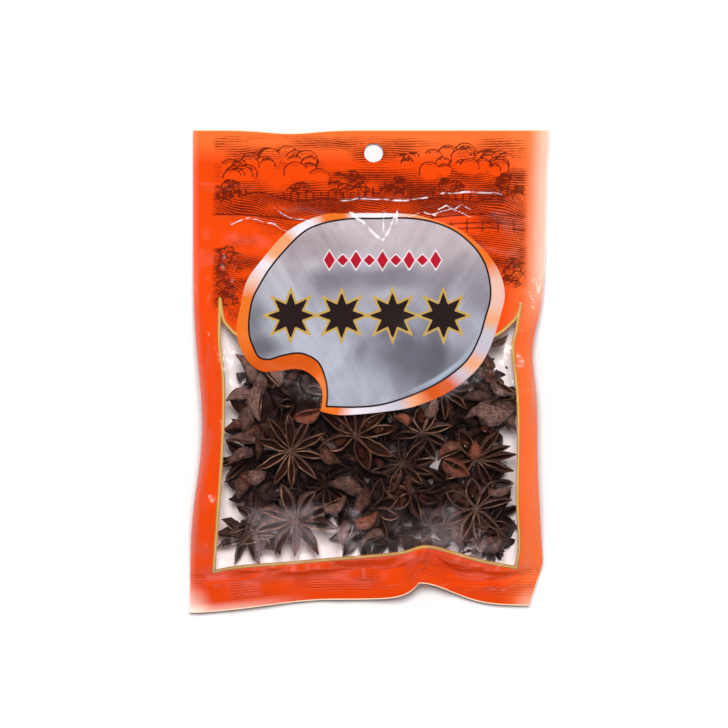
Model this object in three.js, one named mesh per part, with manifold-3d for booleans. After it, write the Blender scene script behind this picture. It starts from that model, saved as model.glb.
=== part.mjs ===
// A sealed retail bag of whole star anise pods, lying on its back with the front up.
// A tube of film is closed by a flat header with a hang hole at one end and by a wavy crimped
// seal at the other. Between them the film is a pillow, filled with pods up to two thirds. The
// pods next to the front film lift it and stand out as stars. The bag is one closed solid.
// Millimetres, +Z up. X runs across the bag and Y runs up it, from the crimped seal to the header.
// The origin is on the resting plane, under the middle of the bag's box.
import * as THREE from "three";
import { mergeVertices } from "three/addons/utils/BufferGeometryUtils.js";
import Module from "manifold-3d";

// Driving dimensions
const HALF_WIDTH = 74.5;
const HALF_LENGTH = 100.1;
const SEAL_THICKNESS = 0.8;
const CREST_HEIGHT = 24; // of the front film between the pods
const SEAM_HEIGHT = 11.5; // of the bag's sides, where it is full
const HEADER_HEIGHT = 2.4;
const CRIMP_HEIGHT = 3.2;
const HANG_HOLE = { x: 1.7, y: 90.6, diameter: 8 };

// Stations up the bag
const CRIMP_Y = -87; // the pillow starts here
const FULL_Y = -53; // the pillow has its whole height from here
const LEVEL_Y = -14; // up to here
const HEADER_Y = 66; // the pillow ends here

// The bag's sides draw in where it is full
const LEFT_INSET = { depth: 1.2, from: -70, to: 0 };
const LEFT_WAIST = { y: -26, depth: 4.2, below: 30, above: 36 };
const RIGHT_INSET = { depth: 1, from: 78, to: 99 };
const RIGHT_WAIST = { y: -26, depth: 3.9, spread: 58 };
const RIGHT_DENT = { y: 9, depth: 3.2, spread: 15 };
const CORNER_CUT = { from: -81.5, depth: 6.6 };

// The crimped seal buckles: its edge is drawn up the bag and lifts off the resting plane
const BUCKLE = { x: 20.4, drawn: 12.5, left: 5, right: 19, rise: 6.5, spread: 12 };
const LEFT_DRAWN = { depth: 5.5, from: -76, to: -14 };
const RIGHT_DRAWN = 3;
const DRAWN_UP_TO = -45;
const TOP_DIP = { x: -33, depth: 1.4, spread: 14 };

// Sides of the pillow's cross-section: a higher power gives a flatter top
const CREST_POWER = 3.4;
const BACK_FLATNESS = 1.25; // how far past the resting plane the back would bulge

// Mesh density
const COLUMNS = 30;
const ROW_BANDS = [
  { to: CRIMP_Y, rows: 3 },
  { to: FULL_Y, rows: 10 },
  { to: LEVEL_Y, rows: 11 },
  { to: HEADER_Y, rows: 14 },
  { to: HALF_LENGTH, rows: 3 },
];

// Pods that press against the front film: centre, radius, number of carpels and turn in degrees
const PODS = [
  { x: -32.8, y: -32.7, radius: 16.2, carpels: 9, turn: 3 },
  { x: -5.7, y: -26.5, radius: 17.6, carpels: 8, turn: 13 },
  { x: -30.9, y: -61.7, radius: 18, carpels: 9, turn: 24 },
  { x: -51.3, y: -68, radius: 14, carpels: 8, turn: 8 },
  { x: 43.8, y: -56.9, radius: 15.6, carpels: 8, turn: 14 },
  { x: 22, y: -25.8, radius: 13.5, carpels: 8, turn: 3 },
  { x: 43.8, y: -36.1, radius: 17, carpels: 8, turn: 27 },
  { x: 13.2, y: -38.5, radius: 15, carpels: 8, turn: 5 },
  { x: 19, y: -50, radius: 14, carpels: 8, turn: 20 },
  { x: 1, y: -56, radius: 15, carpels: 8, turn: 25 },
  { x: -41, y: -6, radius: 15, carpels: 8, turn: 30 },
  { x: 49, y: -13.5, radius: 15, carpels: 8, turn: 20 },
  { x: -49, y: -44, radius: 14, carpels: 8, turn: 5 },
  { x: 14, y: -67, radius: 13.5, carpels: 8, turn: 10 },
  { x: -15, y: -8, radius: 14, carpels: 8, turn: 0 },
];
const CARPEL = { width: 2.5, height: 2.2, start: 0.1, belly: 0.5, sunk: 0.8 };
const POD_SWELL = 2.4; // how far a pod lifts the film over its middle

const step = (from, to, value) => THREE.MathUtils.smoothstep(value, from, to);
const bell = (value, centre, spread) => Math.exp(-(((value - centre) / spread) ** 2));

// Side outlines of the film at station y
function leftEdge(y) {
  const inset = LEFT_INSET.depth * step(LEFT_INSET.from, LEFT_INSET.to, y);
  const spread = y < LEFT_WAIST.y ? LEFT_WAIST.below : LEFT_WAIST.above;
  return -HALF_WIDTH + inset + LEFT_WAIST.depth * bell(y, LEFT_WAIST.y, spread);
}

function rightEdge(y) {
  const inset = RIGHT_INSET.depth * (1 - step(RIGHT_INSET.from, RIGHT_INSET.to, y));
  const waist = RIGHT_WAIST.depth * bell(y, RIGHT_WAIST.y, RIGHT_WAIST.spread);
  const dent = RIGHT_DENT.depth * bell(y, RIGHT_DENT.y, RIGHT_DENT.spread);
  const cornerShare = Math.max(0, (CORNER_CUT.from - y) / (CORNER_CUT.from + HALF_LENGTH));
  return HALF_WIDTH - inset - waist - dent - CORNER_CUT.depth * cornerShare;
}

// How far the crimped seal's edge is drawn up the bag at x
function drawnUp(x) {
  if (x > BUCKLE.x) return RIGHT_DRAWN + (BUCKLE.drawn - RIGHT_DRAWN) * bell(x, BUCKLE.x, BUCKLE.right);
  const buckle = (BUCKLE.drawn - LEFT_DRAWN.depth) * Math.exp((x - BUCKLE.x) / BUCKLE.left);
  return LEFT_DRAWN.depth * step(LEFT_DRAWN.from, LEFT_DRAWN.to, x) + buckle;
}

// Where station y of the flat film comes to lie at x
function placedY(x, y) {
  const nearCrimp = 1 - step(-HALF_LENGTH, DRAWN_UP_TO, y);
  const nearTop = step(HEADER_Y, HALF_LENGTH, y);
  return y + drawnUp(x) * nearCrimp - TOP_DIP.depth * bell(x, TOP_DIP.x, TOP_DIP.spread) * nearTop;
}

// How full the pillow is at station y: 0 at both seals, 1 over the pods
function fullness(y) {
  if (y > FULL_Y) return 1 - step(LEVEL_Y, HEADER_Y, y);
  const rise = THREE.MathUtils.clamp((y - CRIMP_Y) / (FULL_Y - CRIMP_Y), 0, 1);
  return Math.sqrt(1 - (1 - rise) ** 2);
}

// Share of the pillow's height at u, from -1 at its left side to 1 at its right
const section = (u) => Math.sqrt(Math.max(0, 1 - Math.abs(u) ** CREST_POWER));

// How much the nearest pod lifts the film at a place on the bag, from 0 to 1
function podSwell(x, y) {
  const shares = PODS.map((pod) => bell(Math.hypot(x - pod.x, y - pod.y), 0, pod.radius));
  return Math.max(...shares);
}

// Height of the surface midway between front and back
function seamHeight(x, y) {
  const upper = THREE.MathUtils.lerp(SEAM_HEIGHT, HEADER_HEIGHT, step(LEVEL_Y, HEADER_Y, y));
  const height = THREE.MathUtils.lerp(CRIMP_HEIGHT, upper, step(CRIMP_Y, FULL_Y, y));
  const buckle = BUCKLE.rise * bell(x, BUCKLE.x, BUCKLE.spread);
  return height + buckle * (1 - step(-HALF_LENGTH, CRIMP_Y + 8, y));
}

function frontHeight(x, y, u) {
  const crest = CREST_HEIGHT - SEAM_HEIGHT + POD_SWELL * podSwell(x, placedY(x, y));
  return seamHeight(x, y) + SEAL_THICKNESS / 2 + crest * fullness(y) * section(u);
}

function backHeight(x, y, u) {
  const seam = seamHeight(x, y);
  return Math.max(0, seam - SEAL_THICKNESS / 2 - seam * BACK_FLATNESS * fullness(y) * section(u));
}

// Front film height over a point of the resting plane, for what lies against the film
function frontAt(x, placed) {
  let y = placed;
  for (let k = 0; k < 12; k += 1) y += placed - placedY(x, y);
  const u = (2 * (x - leftEdge(y))) / (rightEdge(y) - leftEdge(y)) - 1;
  return frontHeight(x, y, THREE.MathUtils.clamp(u, -1, 1));
}

// Stations of the mesh's rows, from the crimped edge to the header's edge
function rowStations() {
  const stations = [-HALF_LENGTH];
  for (const band of ROW_BANDS) {
    const from = stations[stations.length - 1];
    for (let k = 1; k <= band.rows; k += 1) stations.push(from + ((band.to - from) * k) / band.rows);
  }
  return stations;
}

// Columns lie closer together towards the rounded sides
function columnShare(i) {
  const even = (2 * i) / COLUMNS - 1;
  return 0.6 * even + 0.4 * Math.sin((Math.PI / 2) * even);
}

// The bag's closed skin: a front and a back sheet, joined by strips along all four sides
function bagGeometry() {
  const stations = rowStations();
  const rows = stations.length;
  const sheet = rows * (COLUMNS + 1);
  const positions = [];
  for (const heightAt of [frontHeight, backHeight]) {
    for (const y of stations) {
      for (let i = 0; i <= COLUMNS; i += 1) {
        const u = columnShare(i);
        const x = THREE.MathUtils.lerp(leftEdge(y), rightEdge(y), (u + 1) / 2);
        positions.push(x, placedY(x, y), heightAt(x, y, u));
      }
    }
  }
  const at = (side, j, i) => side * sheet + j * (COLUMNS + 1) + i;
  const index = [];
  const quad = (a, b, c, d) => index.push(a, b, c, a, c, d);
  for (let j = 0; j + 1 < rows; j += 1) {
    for (let i = 0; i < COLUMNS; i += 1) {
      quad(at(0, j, i), at(0, j, i + 1), at(0, j + 1, i + 1), at(0, j + 1, i));
      quad(at(1, j, i), at(1, j + 1, i), at(1, j + 1, i + 1), at(1, j, i + 1));
    }
    quad(at(0, j, 0), at(0, j + 1, 0), at(1, j + 1, 0), at(1, j, 0));
    quad(at(0, j, COLUMNS), at(1, j, COLUMNS), at(1, j + 1, COLUMNS), at(0, j + 1, COLUMNS));
  }
  for (let i = 0; i < COLUMNS; i += 1) {
    quad(at(0, 0, i), at(1, 0, i), at(1, 0, i + 1), at(0, 0, i + 1));
    quad(at(0, rows - 1, i), at(0, rows - 1, i + 1), at(1, rows - 1, i + 1), at(1, rows - 1, i));
  }
  const geometry = new THREE.BufferGeometry();
  geometry.setAttribute("position", new THREE.Float32BufferAttribute(positions, 3));
  geometry.setIndex(index);
  return geometry;
}

// One carpel against the film: a boat with a ridge, pointing away from the pod's centre
function carpelGeometry(pod, angle) {
  const along = new THREE.Vector2(Math.cos(angle), Math.sin(angle));
  const across = new THREE.Vector2(-along.y, along.x);
  const onFilm = (distance, side, rise) => {
    const x = pod.x + along.x * distance + across.x * side;
    const y = pod.y + along.y * distance + across.y * side;
    return new THREE.Vector3(x, y, frontAt(x, y) + rise);
  };
  const belly = pod.radius * CARPEL.belly;
  const corners = {
    heart: onFilm(pod.radius * CARPEL.start, 0, 0),
    right: onFilm(belly, -CARPEL.width, -CARPEL.sunk),
    tip: onFilm(pod.radius, 0, 0),
    left: onFilm(belly, CARPEL.width, -CARPEL.sunk),
    ridge: onFilm(belly, 0, CARPEL.height),
    keel: onFilm(belly, 0, -CARPEL.height),
  };
  const [heart, right, tip, left, ridge, keel] = Object.keys(corners).keys();
  const geometry = new THREE.BufferGeometry().setFromPoints(Object.values(corners));
  geometry.setIndex([
    heart, right, ridge, right, tip, ridge, tip, left, ridge, left, heart, ridge,
    right, heart, keel, tip, right, keel, left, tip, keel, heart, left, keel,
  ]);
  return geometry;
}

const wasm = await Module();
wasm.setup();

function solidOf(geometry) {
  const bare = new THREE.BufferGeometry().setAttribute("position", geometry.getAttribute("position"));
  bare.setIndex(geometry.index);
  const merged = mergeVertices(bare, 1e-3);
  return new wasm.Manifold(
    new wasm.Mesh({
      numProp: 3,
      vertProperties: new Float32Array(merged.getAttribute("position").array),
      triVerts: new Uint32Array(merged.index.array),
    }),
  );
}

function geometryOf(solid) {
  const mesh = solid.getMesh();
  const geometry = new THREE.BufferGeometry();
  geometry.setAttribute("position", new THREE.BufferAttribute(new Float32Array(mesh.vertProperties), 3));
  geometry.setIndex(new THREE.BufferAttribute(new Uint32Array(mesh.triVerts), 1));
  const flat = geometry.toNonIndexed();
  flat.computeVertexNormals();
  return flat;
}

function hangHole() {
  const radius = HANG_HOLE.diameter / 2;
  const drill = new THREE.CylinderGeometry(radius, radius, 10 * SEAL_THICKNESS, 32);
  drill.rotateX(Math.PI / 2);
  drill.translate(HANG_HOLE.x, HANG_HOLE.y, HEADER_HEIGHT);
  return solidOf(drill);
}

function bagSolid() {
  let solid = solidOf(bagGeometry());
  for (const pod of PODS) {
    for (let k = 0; k < pod.carpels; k += 1) {
      const angle = THREE.MathUtils.degToRad(pod.turn + (360 * k) / pod.carpels);
      solid = solid.add(solidOf(carpelGeometry(pod, angle)));
    }
  }
  return solid.subtract(hangHole());
}

const printedFilm = new THREE.MeshStandardMaterial({ color: 0xf0481a, roughness: 0.28, metalness: 0 });

const bag = new THREE.Mesh(geometryOf(bagSolid()), printedFilm);
bag.name = "bag";

const group = new THREE.Group();
group.add(bag);

export default group;
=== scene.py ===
"""A sealed retail bag of whole star anise pods, lying on its back with the front up.

The film is a pillow between a flat header and a wavy crimped seal. Its front is printed orange
with a line drawing of open country, a silver label in a coloured ring and a clear window, through
which the pods show. The CAD solid stands for film, air and pods together, so it is all replaced.
Lengths are in millimetres up to mesh_object(), which turns them into metres. The studio is in metres.
"""

import math

import bpy
import numpy as np
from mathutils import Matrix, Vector


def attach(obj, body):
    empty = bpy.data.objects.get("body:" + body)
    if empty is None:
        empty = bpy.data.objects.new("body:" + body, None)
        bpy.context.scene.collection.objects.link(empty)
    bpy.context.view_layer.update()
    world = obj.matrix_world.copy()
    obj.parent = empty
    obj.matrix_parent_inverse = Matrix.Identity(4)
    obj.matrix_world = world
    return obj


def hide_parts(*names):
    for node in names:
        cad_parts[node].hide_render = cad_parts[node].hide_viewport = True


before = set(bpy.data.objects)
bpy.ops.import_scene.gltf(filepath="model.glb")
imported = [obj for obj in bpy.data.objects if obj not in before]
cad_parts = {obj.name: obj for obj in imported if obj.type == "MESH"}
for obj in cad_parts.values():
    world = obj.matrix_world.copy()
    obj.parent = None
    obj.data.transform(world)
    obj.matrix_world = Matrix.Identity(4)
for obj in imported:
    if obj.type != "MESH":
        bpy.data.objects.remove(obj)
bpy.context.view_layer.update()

MM = 0.001
TAU = 2 * math.pi
rng = np.random.default_rng(20)

# ---------------------------------------------------------------- the bag's form
HALF_WIDTH = 74.5
HALF_LENGTH = 100.1
CREST_HEIGHT = 25.0
SEAM_HEIGHT = 11.5
HEADER_HEIGHT = 2.4
CRIMP_HEIGHT = 3.2
HANG_HOLE = (1.7, 90.6)
HANG_HOLE_RADIUS = 4.0
CRIMP_Y = -87.0
FULL_Y = -53.0
LEVEL_Y = -14.0
HEADER_Y = 66.0
BUCKLE_X = 20.4
CREST_POWER = 3.4
BACK_FLATNESS = 1.25
SEALED_GAP = 0.16  # from the seam to either film where they are sealed
NECK_Y = -26  # where the pillow is narrowest


def step(start, end, value):
    t = np.clip((value - start) / (end - start), 0, 1)
    return t * t * (3 - 2 * t)


def bell(value, centre, spread):
    return np.exp(-(((value - centre) / spread) ** 2))


def mix(a, b, share):
    return a + (b - a) * share


def left_edge(y):
    spread = np.where(y < NECK_Y, 30.0, 36.0)
    return -HALF_WIDTH + 1.2 * step(-70, 0, y) + 4.2 * bell(y, NECK_Y, spread)


def right_edge(y):
    corner = 6.6 * np.maximum(0, (-81.5 - y) / (HALF_LENGTH - 81.5))
    return HALF_WIDTH - (1 - step(78, 99, y)) - 3.9 * bell(y, NECK_Y, 58) - 3.2 * bell(y, 9, 15) - corner


def drawn_up(x):
    """How far the buckle draws the seal up."""
    right = 3 + 9.5 * bell(x, BUCKLE_X, 19)
    left = 5.5 * step(-76, -14, x) + 7 * np.exp(np.minimum(x - BUCKLE_X, 0) / 5)
    return np.where(x > BUCKLE_X, right, left)


def placed_y(x, y):
    """Where a station up the flat film lies once the seal is drawn up."""
    near_crimp = 1 - step(-HALF_LENGTH, -45, y)
    return y + drawn_up(x) * near_crimp - 1.4 * bell(x, -33, 14) * step(HEADER_Y, HALF_LENGTH, y)


def fullness(y):
    """Share of the pillow's height up the bag."""
    rise = np.clip((y - CRIMP_Y) / (FULL_Y - CRIMP_Y), 0, 1)
    toe = np.sqrt(1 - (1 - rise) ** 2) * (1 - 0.65 * bell(rise, 0, 0.12))
    return np.where(y > FULL_Y, 1 - step(LEVEL_Y, HEADER_Y, y), toe)


def section(u):
    """Share of the pillow's height across the bag, where u runs from -1 to 1."""
    return np.sqrt(np.maximum(0, 1 - np.abs(u) ** CREST_POWER))


def sealed_gap(u):
    return SEALED_GAP * np.minimum(1, 6 * (1 - np.abs(u)))


def seam_height(x, y):
    upper = mix(SEAM_HEIGHT, HEADER_HEIGHT, step(LEVEL_Y, HEADER_Y, y))
    height = mix(CRIMP_HEIGHT, upper, step(CRIMP_Y, FULL_Y, y))
    return height + 6.5 * bell(x, BUCKLE_X, 12) * (1 - step(-HALF_LENGTH, CRIMP_Y + 8, y))


def front_height(x, y, u):
    lift = (CREST_HEIGHT - SEAM_HEIGHT) * fullness(y) * section(u)
    return seam_height(x, y) + sealed_gap(u) + lift


def back_height(x, y, u):
    seam = seam_height(x, y)
    return np.maximum(0.12, seam - sealed_gap(u) - seam * BACK_FLATNESS * fullness(y) * section(u))


def station_of(x, placed):
    """Station up the flat film of a point of the resting plane, and its share across."""
    y = np.array(placed, float)
    for _ in range(12):
        y = y + placed - placed_y(x, y)
    left, right = left_edge(y), right_edge(y)
    return y, np.clip(2 * (x - left) / (right - left) - 1, -1, 1)


def front_at(x, placed):
    return front_height(x, *station_of(x, placed))


def back_at(x, placed):
    return back_height(x, *station_of(x, placed))


def films_at(x, placed):
    """Heights of the back and the front film over one point."""
    x, placed = np.array([x]), np.array([placed])
    return back_at(x, placed)[0], front_at(x, placed)[0]


def film_room(points):
    """How far points lie under the highest place to which pods push the front film."""
    return front_at(points[:, 0], points[:, 1]) + FILM_PRESS - points[:, 2]


def off_the_back(points, gap):
    """Lifts points that lie lower than a gap over the back film."""
    points[:, 2] = np.maximum(points[:, 2], back_at(points[:, 0], points[:, 1]) + gap)
    return points


# ---------------------------------------------------------------- noise and meshes
def lattice(cell, seed):
    n = cell[..., 0] * 374761393 + cell[..., 1] * 668265263 + cell[..., 2] * 1442695041 + seed * 362437
    n = (n ^ (n >> 13)) & 0x7FFFFFFF
    n = (n * 1274126177) & 0x7FFFFFFF
    return ((n ^ (n >> 16)) & 0xFFFF) / 65535.0


def noise(points, seed):
    """Smooth value noise from -1 to 1."""
    points = np.asarray(points, float)
    base = np.floor(points).astype(np.int64)
    share = points - base
    share = share * share * (3 - 2 * share)
    total = np.zeros(points.shape[:-1])
    for corner in np.ndindex(2, 2, 2):
        weight = np.prod(np.where(corner, share, 1 - share), axis=-1)
        total += weight * lattice(base + np.array(corner), seed)
    return total * 2 - 1


def flat_noise(a, b, seed):
    return noise(np.stack([a, b, np.zeros_like(a)], -1), seed)


def plan_noise(x, y, scale, seed):
    return flat_noise(x / scale, y / scale, seed)


def mesh_object(name, points, faces, slot, material, **fields):
    """A piece that rides on the bag. Fields hold a number for each point, and flat its UV place."""
    mesh = bpy.data.meshes.new(name)
    faces = np.asarray(faces)
    mesh.vertices.add(len(points))
    mesh.vertices.foreach_set("co", (np.asarray(points, float) * MM).ravel())
    mesh.loops.add(faces.size)
    mesh.loops.foreach_set("vertex_index", faces.ravel())
    mesh.polygons.add(len(faces))
    mesh.polygons.foreach_set("loop_start", np.arange(len(faces)) * faces.shape[1])
    mesh.polygons.foreach_set("use_smooth", np.full(len(faces), True))
    for key, values in fields.items():
        if key == "flat":
            layer = mesh.uv_layers.new(name="flat")
            layer.data.foreach_set("uv", np.asarray(values, float)[faces.ravel()].ravel())
        else:
            layer = mesh.attributes.new(key, "FLOAT", "POINT")
            layer.data.foreach_set("value", np.asarray(values, np.float32))
    mesh.update()
    mesh.validate()
    mesh.materials.append(material)
    piece = bpy.data.objects.new(name, mesh)
    bpy.context.scene.collection.objects.link(piece)
    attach(piece, "root")
    return piece


def quads(rows, columns, closed=False):
    """Faces between rows of points, which are rings if they are closed."""
    a = np.arange((rows - 1) * columns).reshape(-1, columns)
    b = np.roll(a, -1, 1)
    if not closed:
        a, b = a[:, :-1], b[:, :-1]
    return np.stack([a, b, b + columns, a + columns], -1).reshape(-1, 4)


# ---------------------------------------------------------------- outlines of the print
# Each is a closed curve in the plane of the flat bag. A doubled point is a sharp corner.
LABEL = [
    (-20.2, -16.4), (-20.2, -16.4), (-10.5, -18.0), (11.3, -15.9), (23.2, -12.8), (35.1, -6.9),
    (45.0, 1.8), (50.4, 11.7), (54.7, 25.3), (55.9, 31.5), (54.8, 38.2), (51.5, 45.2),
    (45.4, 52.3), (37.5, 58.6), (29.6, 61.9), (19.3, 64.8), (7.7, 65.5), (-9.3, 65.4),
    (-19.4, 64.8), (-33.8, 58.1), (-46.0, 44.4), (-51.1, 36.5), (-53.3, 27.0), (-54.9, 17.4),
    (-53.4, 10.4), (-50.0, 4.2), (-44.6, 0.1), (-38.1, 0.1), (-30.2, 1.0), (-24.9, -0.7),
    (-20.8, -4.8), (-19.3, -10.1),
]
LABEL_FIELD = [
    (-17.7, -14.4), (-17.7, -14.4), (-6.0, -14.7), (5.1, -13.6), (17.6, -9.7), (29.4, -4.0),
    (39.7, 4.2), (45.1, 13.7), (47.6, 21.6), (49.8, 29.4), (49.8, 36.5), (47.8, 44.4),
    (43.3, 51.5), (35.4, 58.1), (25.9, 61.9), (15.5, 63.5), (3.5, 63.3), (-9.3, 63.1),
    (-20.2, 61.0), (-28.8, 56.5), (-39.9, 44.4), (-45.9, 34.8), (-48.5, 29.0), (-49.7, 21.2),
    (-49.5, 15.0), (-48.0, 10.4), (-45.5, 5.9), (-41.4, 4.9), (-36.6, 6.3), (-30.3, 7.5),
    (-25.7, 6.7), (-20.8, 3.4), (-18.1, -3.2), (-17.3, -9.3),
]
WINDOW = [
    (-61.8, 30.0), (-61.8, 30.0), (-62.0, 12.9), (-60.5, 0.5), (-60.1, -11.8), (-60.7, -32.4),
    (-63.0, -65.3), (-64.5, -83.0), (-64.5, -83.0), (-53.5, -80.8), (-32.8, -79.1), (-8.1, -76.9),
    (12.5, -75.0), (22.8, -72.3), (33.1, -74.4), (45.6, -78.1), (60.5, -81.1), (60.5, -81.1),
    (61.8, -71.6), (60.9, -53.0), (61.3, -32.4), (61.1, -11.8), (59.1, 8.8), (60.6, 17.0),
    (62.5, 27.3), (62.5, 27.3), (60.7, 22.6), (57.3, 18.9), (53.6, 15.9), (48.8, 14.2),
    (41.4, 17.0), (-28.7, 17.0), (-44.3, 12.0), (-54.0, 14.9), (-57.8, 18.0), (-60.4, 21.8),
]


def rounded(points, per_side=7):
    """Closed Catmull-Rom curve through the points."""
    p = np.array(points, float)
    before, after, next_after = np.roll(p, 1, 0), np.roll(p, -1, 0), np.roll(p, -2, 0)
    corner = (p == after).all(1)[:, None]
    curve = []
    for t in np.arange(per_side) / per_side:
        smooth = 0.5 * (
            2 * p
            + (after - before) * t
            + (2 * before - 5 * p + 4 * after - next_after) * t**2
            + (3 * p - before - 3 * after + next_after) * t**3
        )
        curve.append(np.where(corner, p, smooth))
    return np.stack(curve, 1).reshape(-1, 2)


def signed_distance(x, y, outline):
    """Distance to a closed outline, below 0 inside it."""
    nearest = np.full(x.shape, 1e9)
    inside = np.zeros(x.shape, bool)
    for a, b in zip(outline, np.roll(outline, -1, 0)):
        d = b - a
        length = d @ d
        if length < 1e-9:
            continue
        px, py = x - a[0], y - a[1]
        t = np.clip((px * d[0] + py * d[1]) / length, 0, 1)
        nearest = np.minimum(nearest, (px - t * d[0]) ** 2 + (py - t * d[1]) ** 2)
        crosses = (a[1] > y) != (b[1] > y)
        if abs(d[1]) > 1e-9:
            inside ^= crosses & (px < d[0] * py / d[1])
    return np.where(inside, -1, 1) * np.sqrt(nearest)


# ---------------------------------------------------------------- pods
# Pods that show: x, y, radius, directions of the carpels in degrees, tilt, direction of the
# lowered side, how far below the film, half width of the splits, and the split-open carpels
FRONT_PODS = [
    (-32.8, -32.7, 16.2, (23, 62, 90, 122, 163, 211, 249, 272, 311, 349), 3, 200, 0.0, 1.0, ()),
    (-5.7, -26.5, 17.6, (13, 43, 76, 108, 146, 203, 288, 330), 4, 240, 0.0, 1.5, (5, 6)),
    (-30.9, -61.7, 18.0, (22, 63, 107, 154, 187, 236, 268, 300, 350), 6, 270, 0.0, 1.1, ()),
    (-51.3, -69.0, 15.0, (9, 68, 128, 171, 205, 245, 296, 330), 5, 230, 1.5, 0.5, ()),
    (43.8, -56.9, 15.6, (17, 57, 101, 148, 199, 240, 274, 315), 5, 300, 0.0, 0.9, (2, 3)),
    (22.0, -25.8, 13.5, (17, 58, 92, 140, 190, 250, 300, 342), 22, 250, 1.0, 1.0, (2,)),
    (43.8, -36.1, 17.0, (3, 27, 54, 127, 170, 206, 300, 343), 10, 330, 0.5, 0.8, (3, 4, 5)),
    (13.2, -38.5, 15.0, (5, 48, 95, 150, 200, 255, 318, 338), 24, 120, 1.5, 0.9, ()),
    (17.0, -49.0, 14.0, (10, 60, 110, 150, 188, 230, 280, 335), 28, 60, 2.0, 1.5, (4, 7)),
    (1.0, -56.0, 15.0, (25, 70, 118, 160, 205, 250, 300, 345), 16, 200, 2.5, 1.6, (2,)),
    (-48.5, -21.5, 13.0, (20, 75, 110, 150, 200, 250, 300, 340), 62, 110, 2.0, 0.3, ()),
    (-41.0, -6.0, 15.0, (30, 75, 120, 165, 210, 255, 300, 345), 165, 100, 3.0, 0.4, ()),
    (-28.0, -12.0, 14.0, (10, 60, 105, 150, 195, 240, 285, 330), 35, 20, 2.5, 1.2, (0,)),
    (-49.0, -36.0, 14.5, (15, 60, 100, 150, 190, 225, 270, 315), 18, 20, 4.0, 0.4, ()),
    (-47.5, -49.5, 12.5, (0, 50, 95, 140, 185, 230, 275, 320), 168, 60, 2.0, 0.3, ()),
    (50.5, -13.5, 15.5, (20, 60, 105, 150, 195, 240, 290, 335), 150, 250, 1.5, 0.3, ()),
    (49.0, 2.5, 14.0, (0, 45, 95, 140, 185, 230, 275, 320), 60, 30, 4.0, 0.5, ()),
    (50.0, -48.0, 12.0, (0, 50, 95, 140, 185, 230, 275, 320), 40, 180, 7.0, 0.4, ()),
    (50.5, -69.5, 13.0, (15, 60, 105, 150, 190, 240, 285, 330), 155, 180, 3.0, 0.3, ()),
    (9.0, -66.5, 14.5, (5, 50, 95, 140, 190, 235, 280, 325), 20, 100, 3.0, 0.9, ()),
    (25.5, -65.0, 13.5, (20, 65, 110, 160, 205, 250, 295, 340), 25, 240, 2.5, 1.2, (1,)),
    (-17.0, -46.0, 13.5, (0, 45, 90, 130, 180, 225, 270, 315), 30, 90, 5.0, 0.8, ()),
    (-14.0, -8.0, 14.0, (0, 45, 90, 135, 180, 225, 270, 315), 20, 0, 3.0, 1.3, (6,)),
    (30.0, -8.0, 14.0, (10, 55, 100, 145, 190, 235, 280, 325), 14, 180, 3.0, 1.0, ()),
    (33.0, -47.0, 13.0, (12, 60, 100, 150, 195, 240, 290, 335), 35, 30, 6.0, 0.8, ()),
    (6.0, -10.0, 13.5, (12, 60, 100, 150, 195, 240, 290, 335), 12, 90, 5.0, 1.0, ()),
    (34.5, -21.5, 14.0, (5, 50, 95, 140, 185, 230, 275, 320), 15, 0, 9.0, 0.6, ()),
    (46.0, -24.0, 13.5, (25, 70, 115, 160, 205, 250, 295, 340), 160, 200, 9.0, 0.4, ()),
    (-21.0, -21.0, 13.0, (10, 55, 100, 145, 190, 235, 280, 325), 12, 60, 8.0, 0.8, ()),
    (53.0, -58.0, 12.0, (10, 55, 100, 145, 190, 235, 280, 325), 14, 60, 8.0, 0.5, ()),
    (-6.0, -41.0, 13.0, (20, 65, 110, 155, 200, 245, 290, 335), 10, 300, 8.0, 0.8, ()),
]
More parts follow.
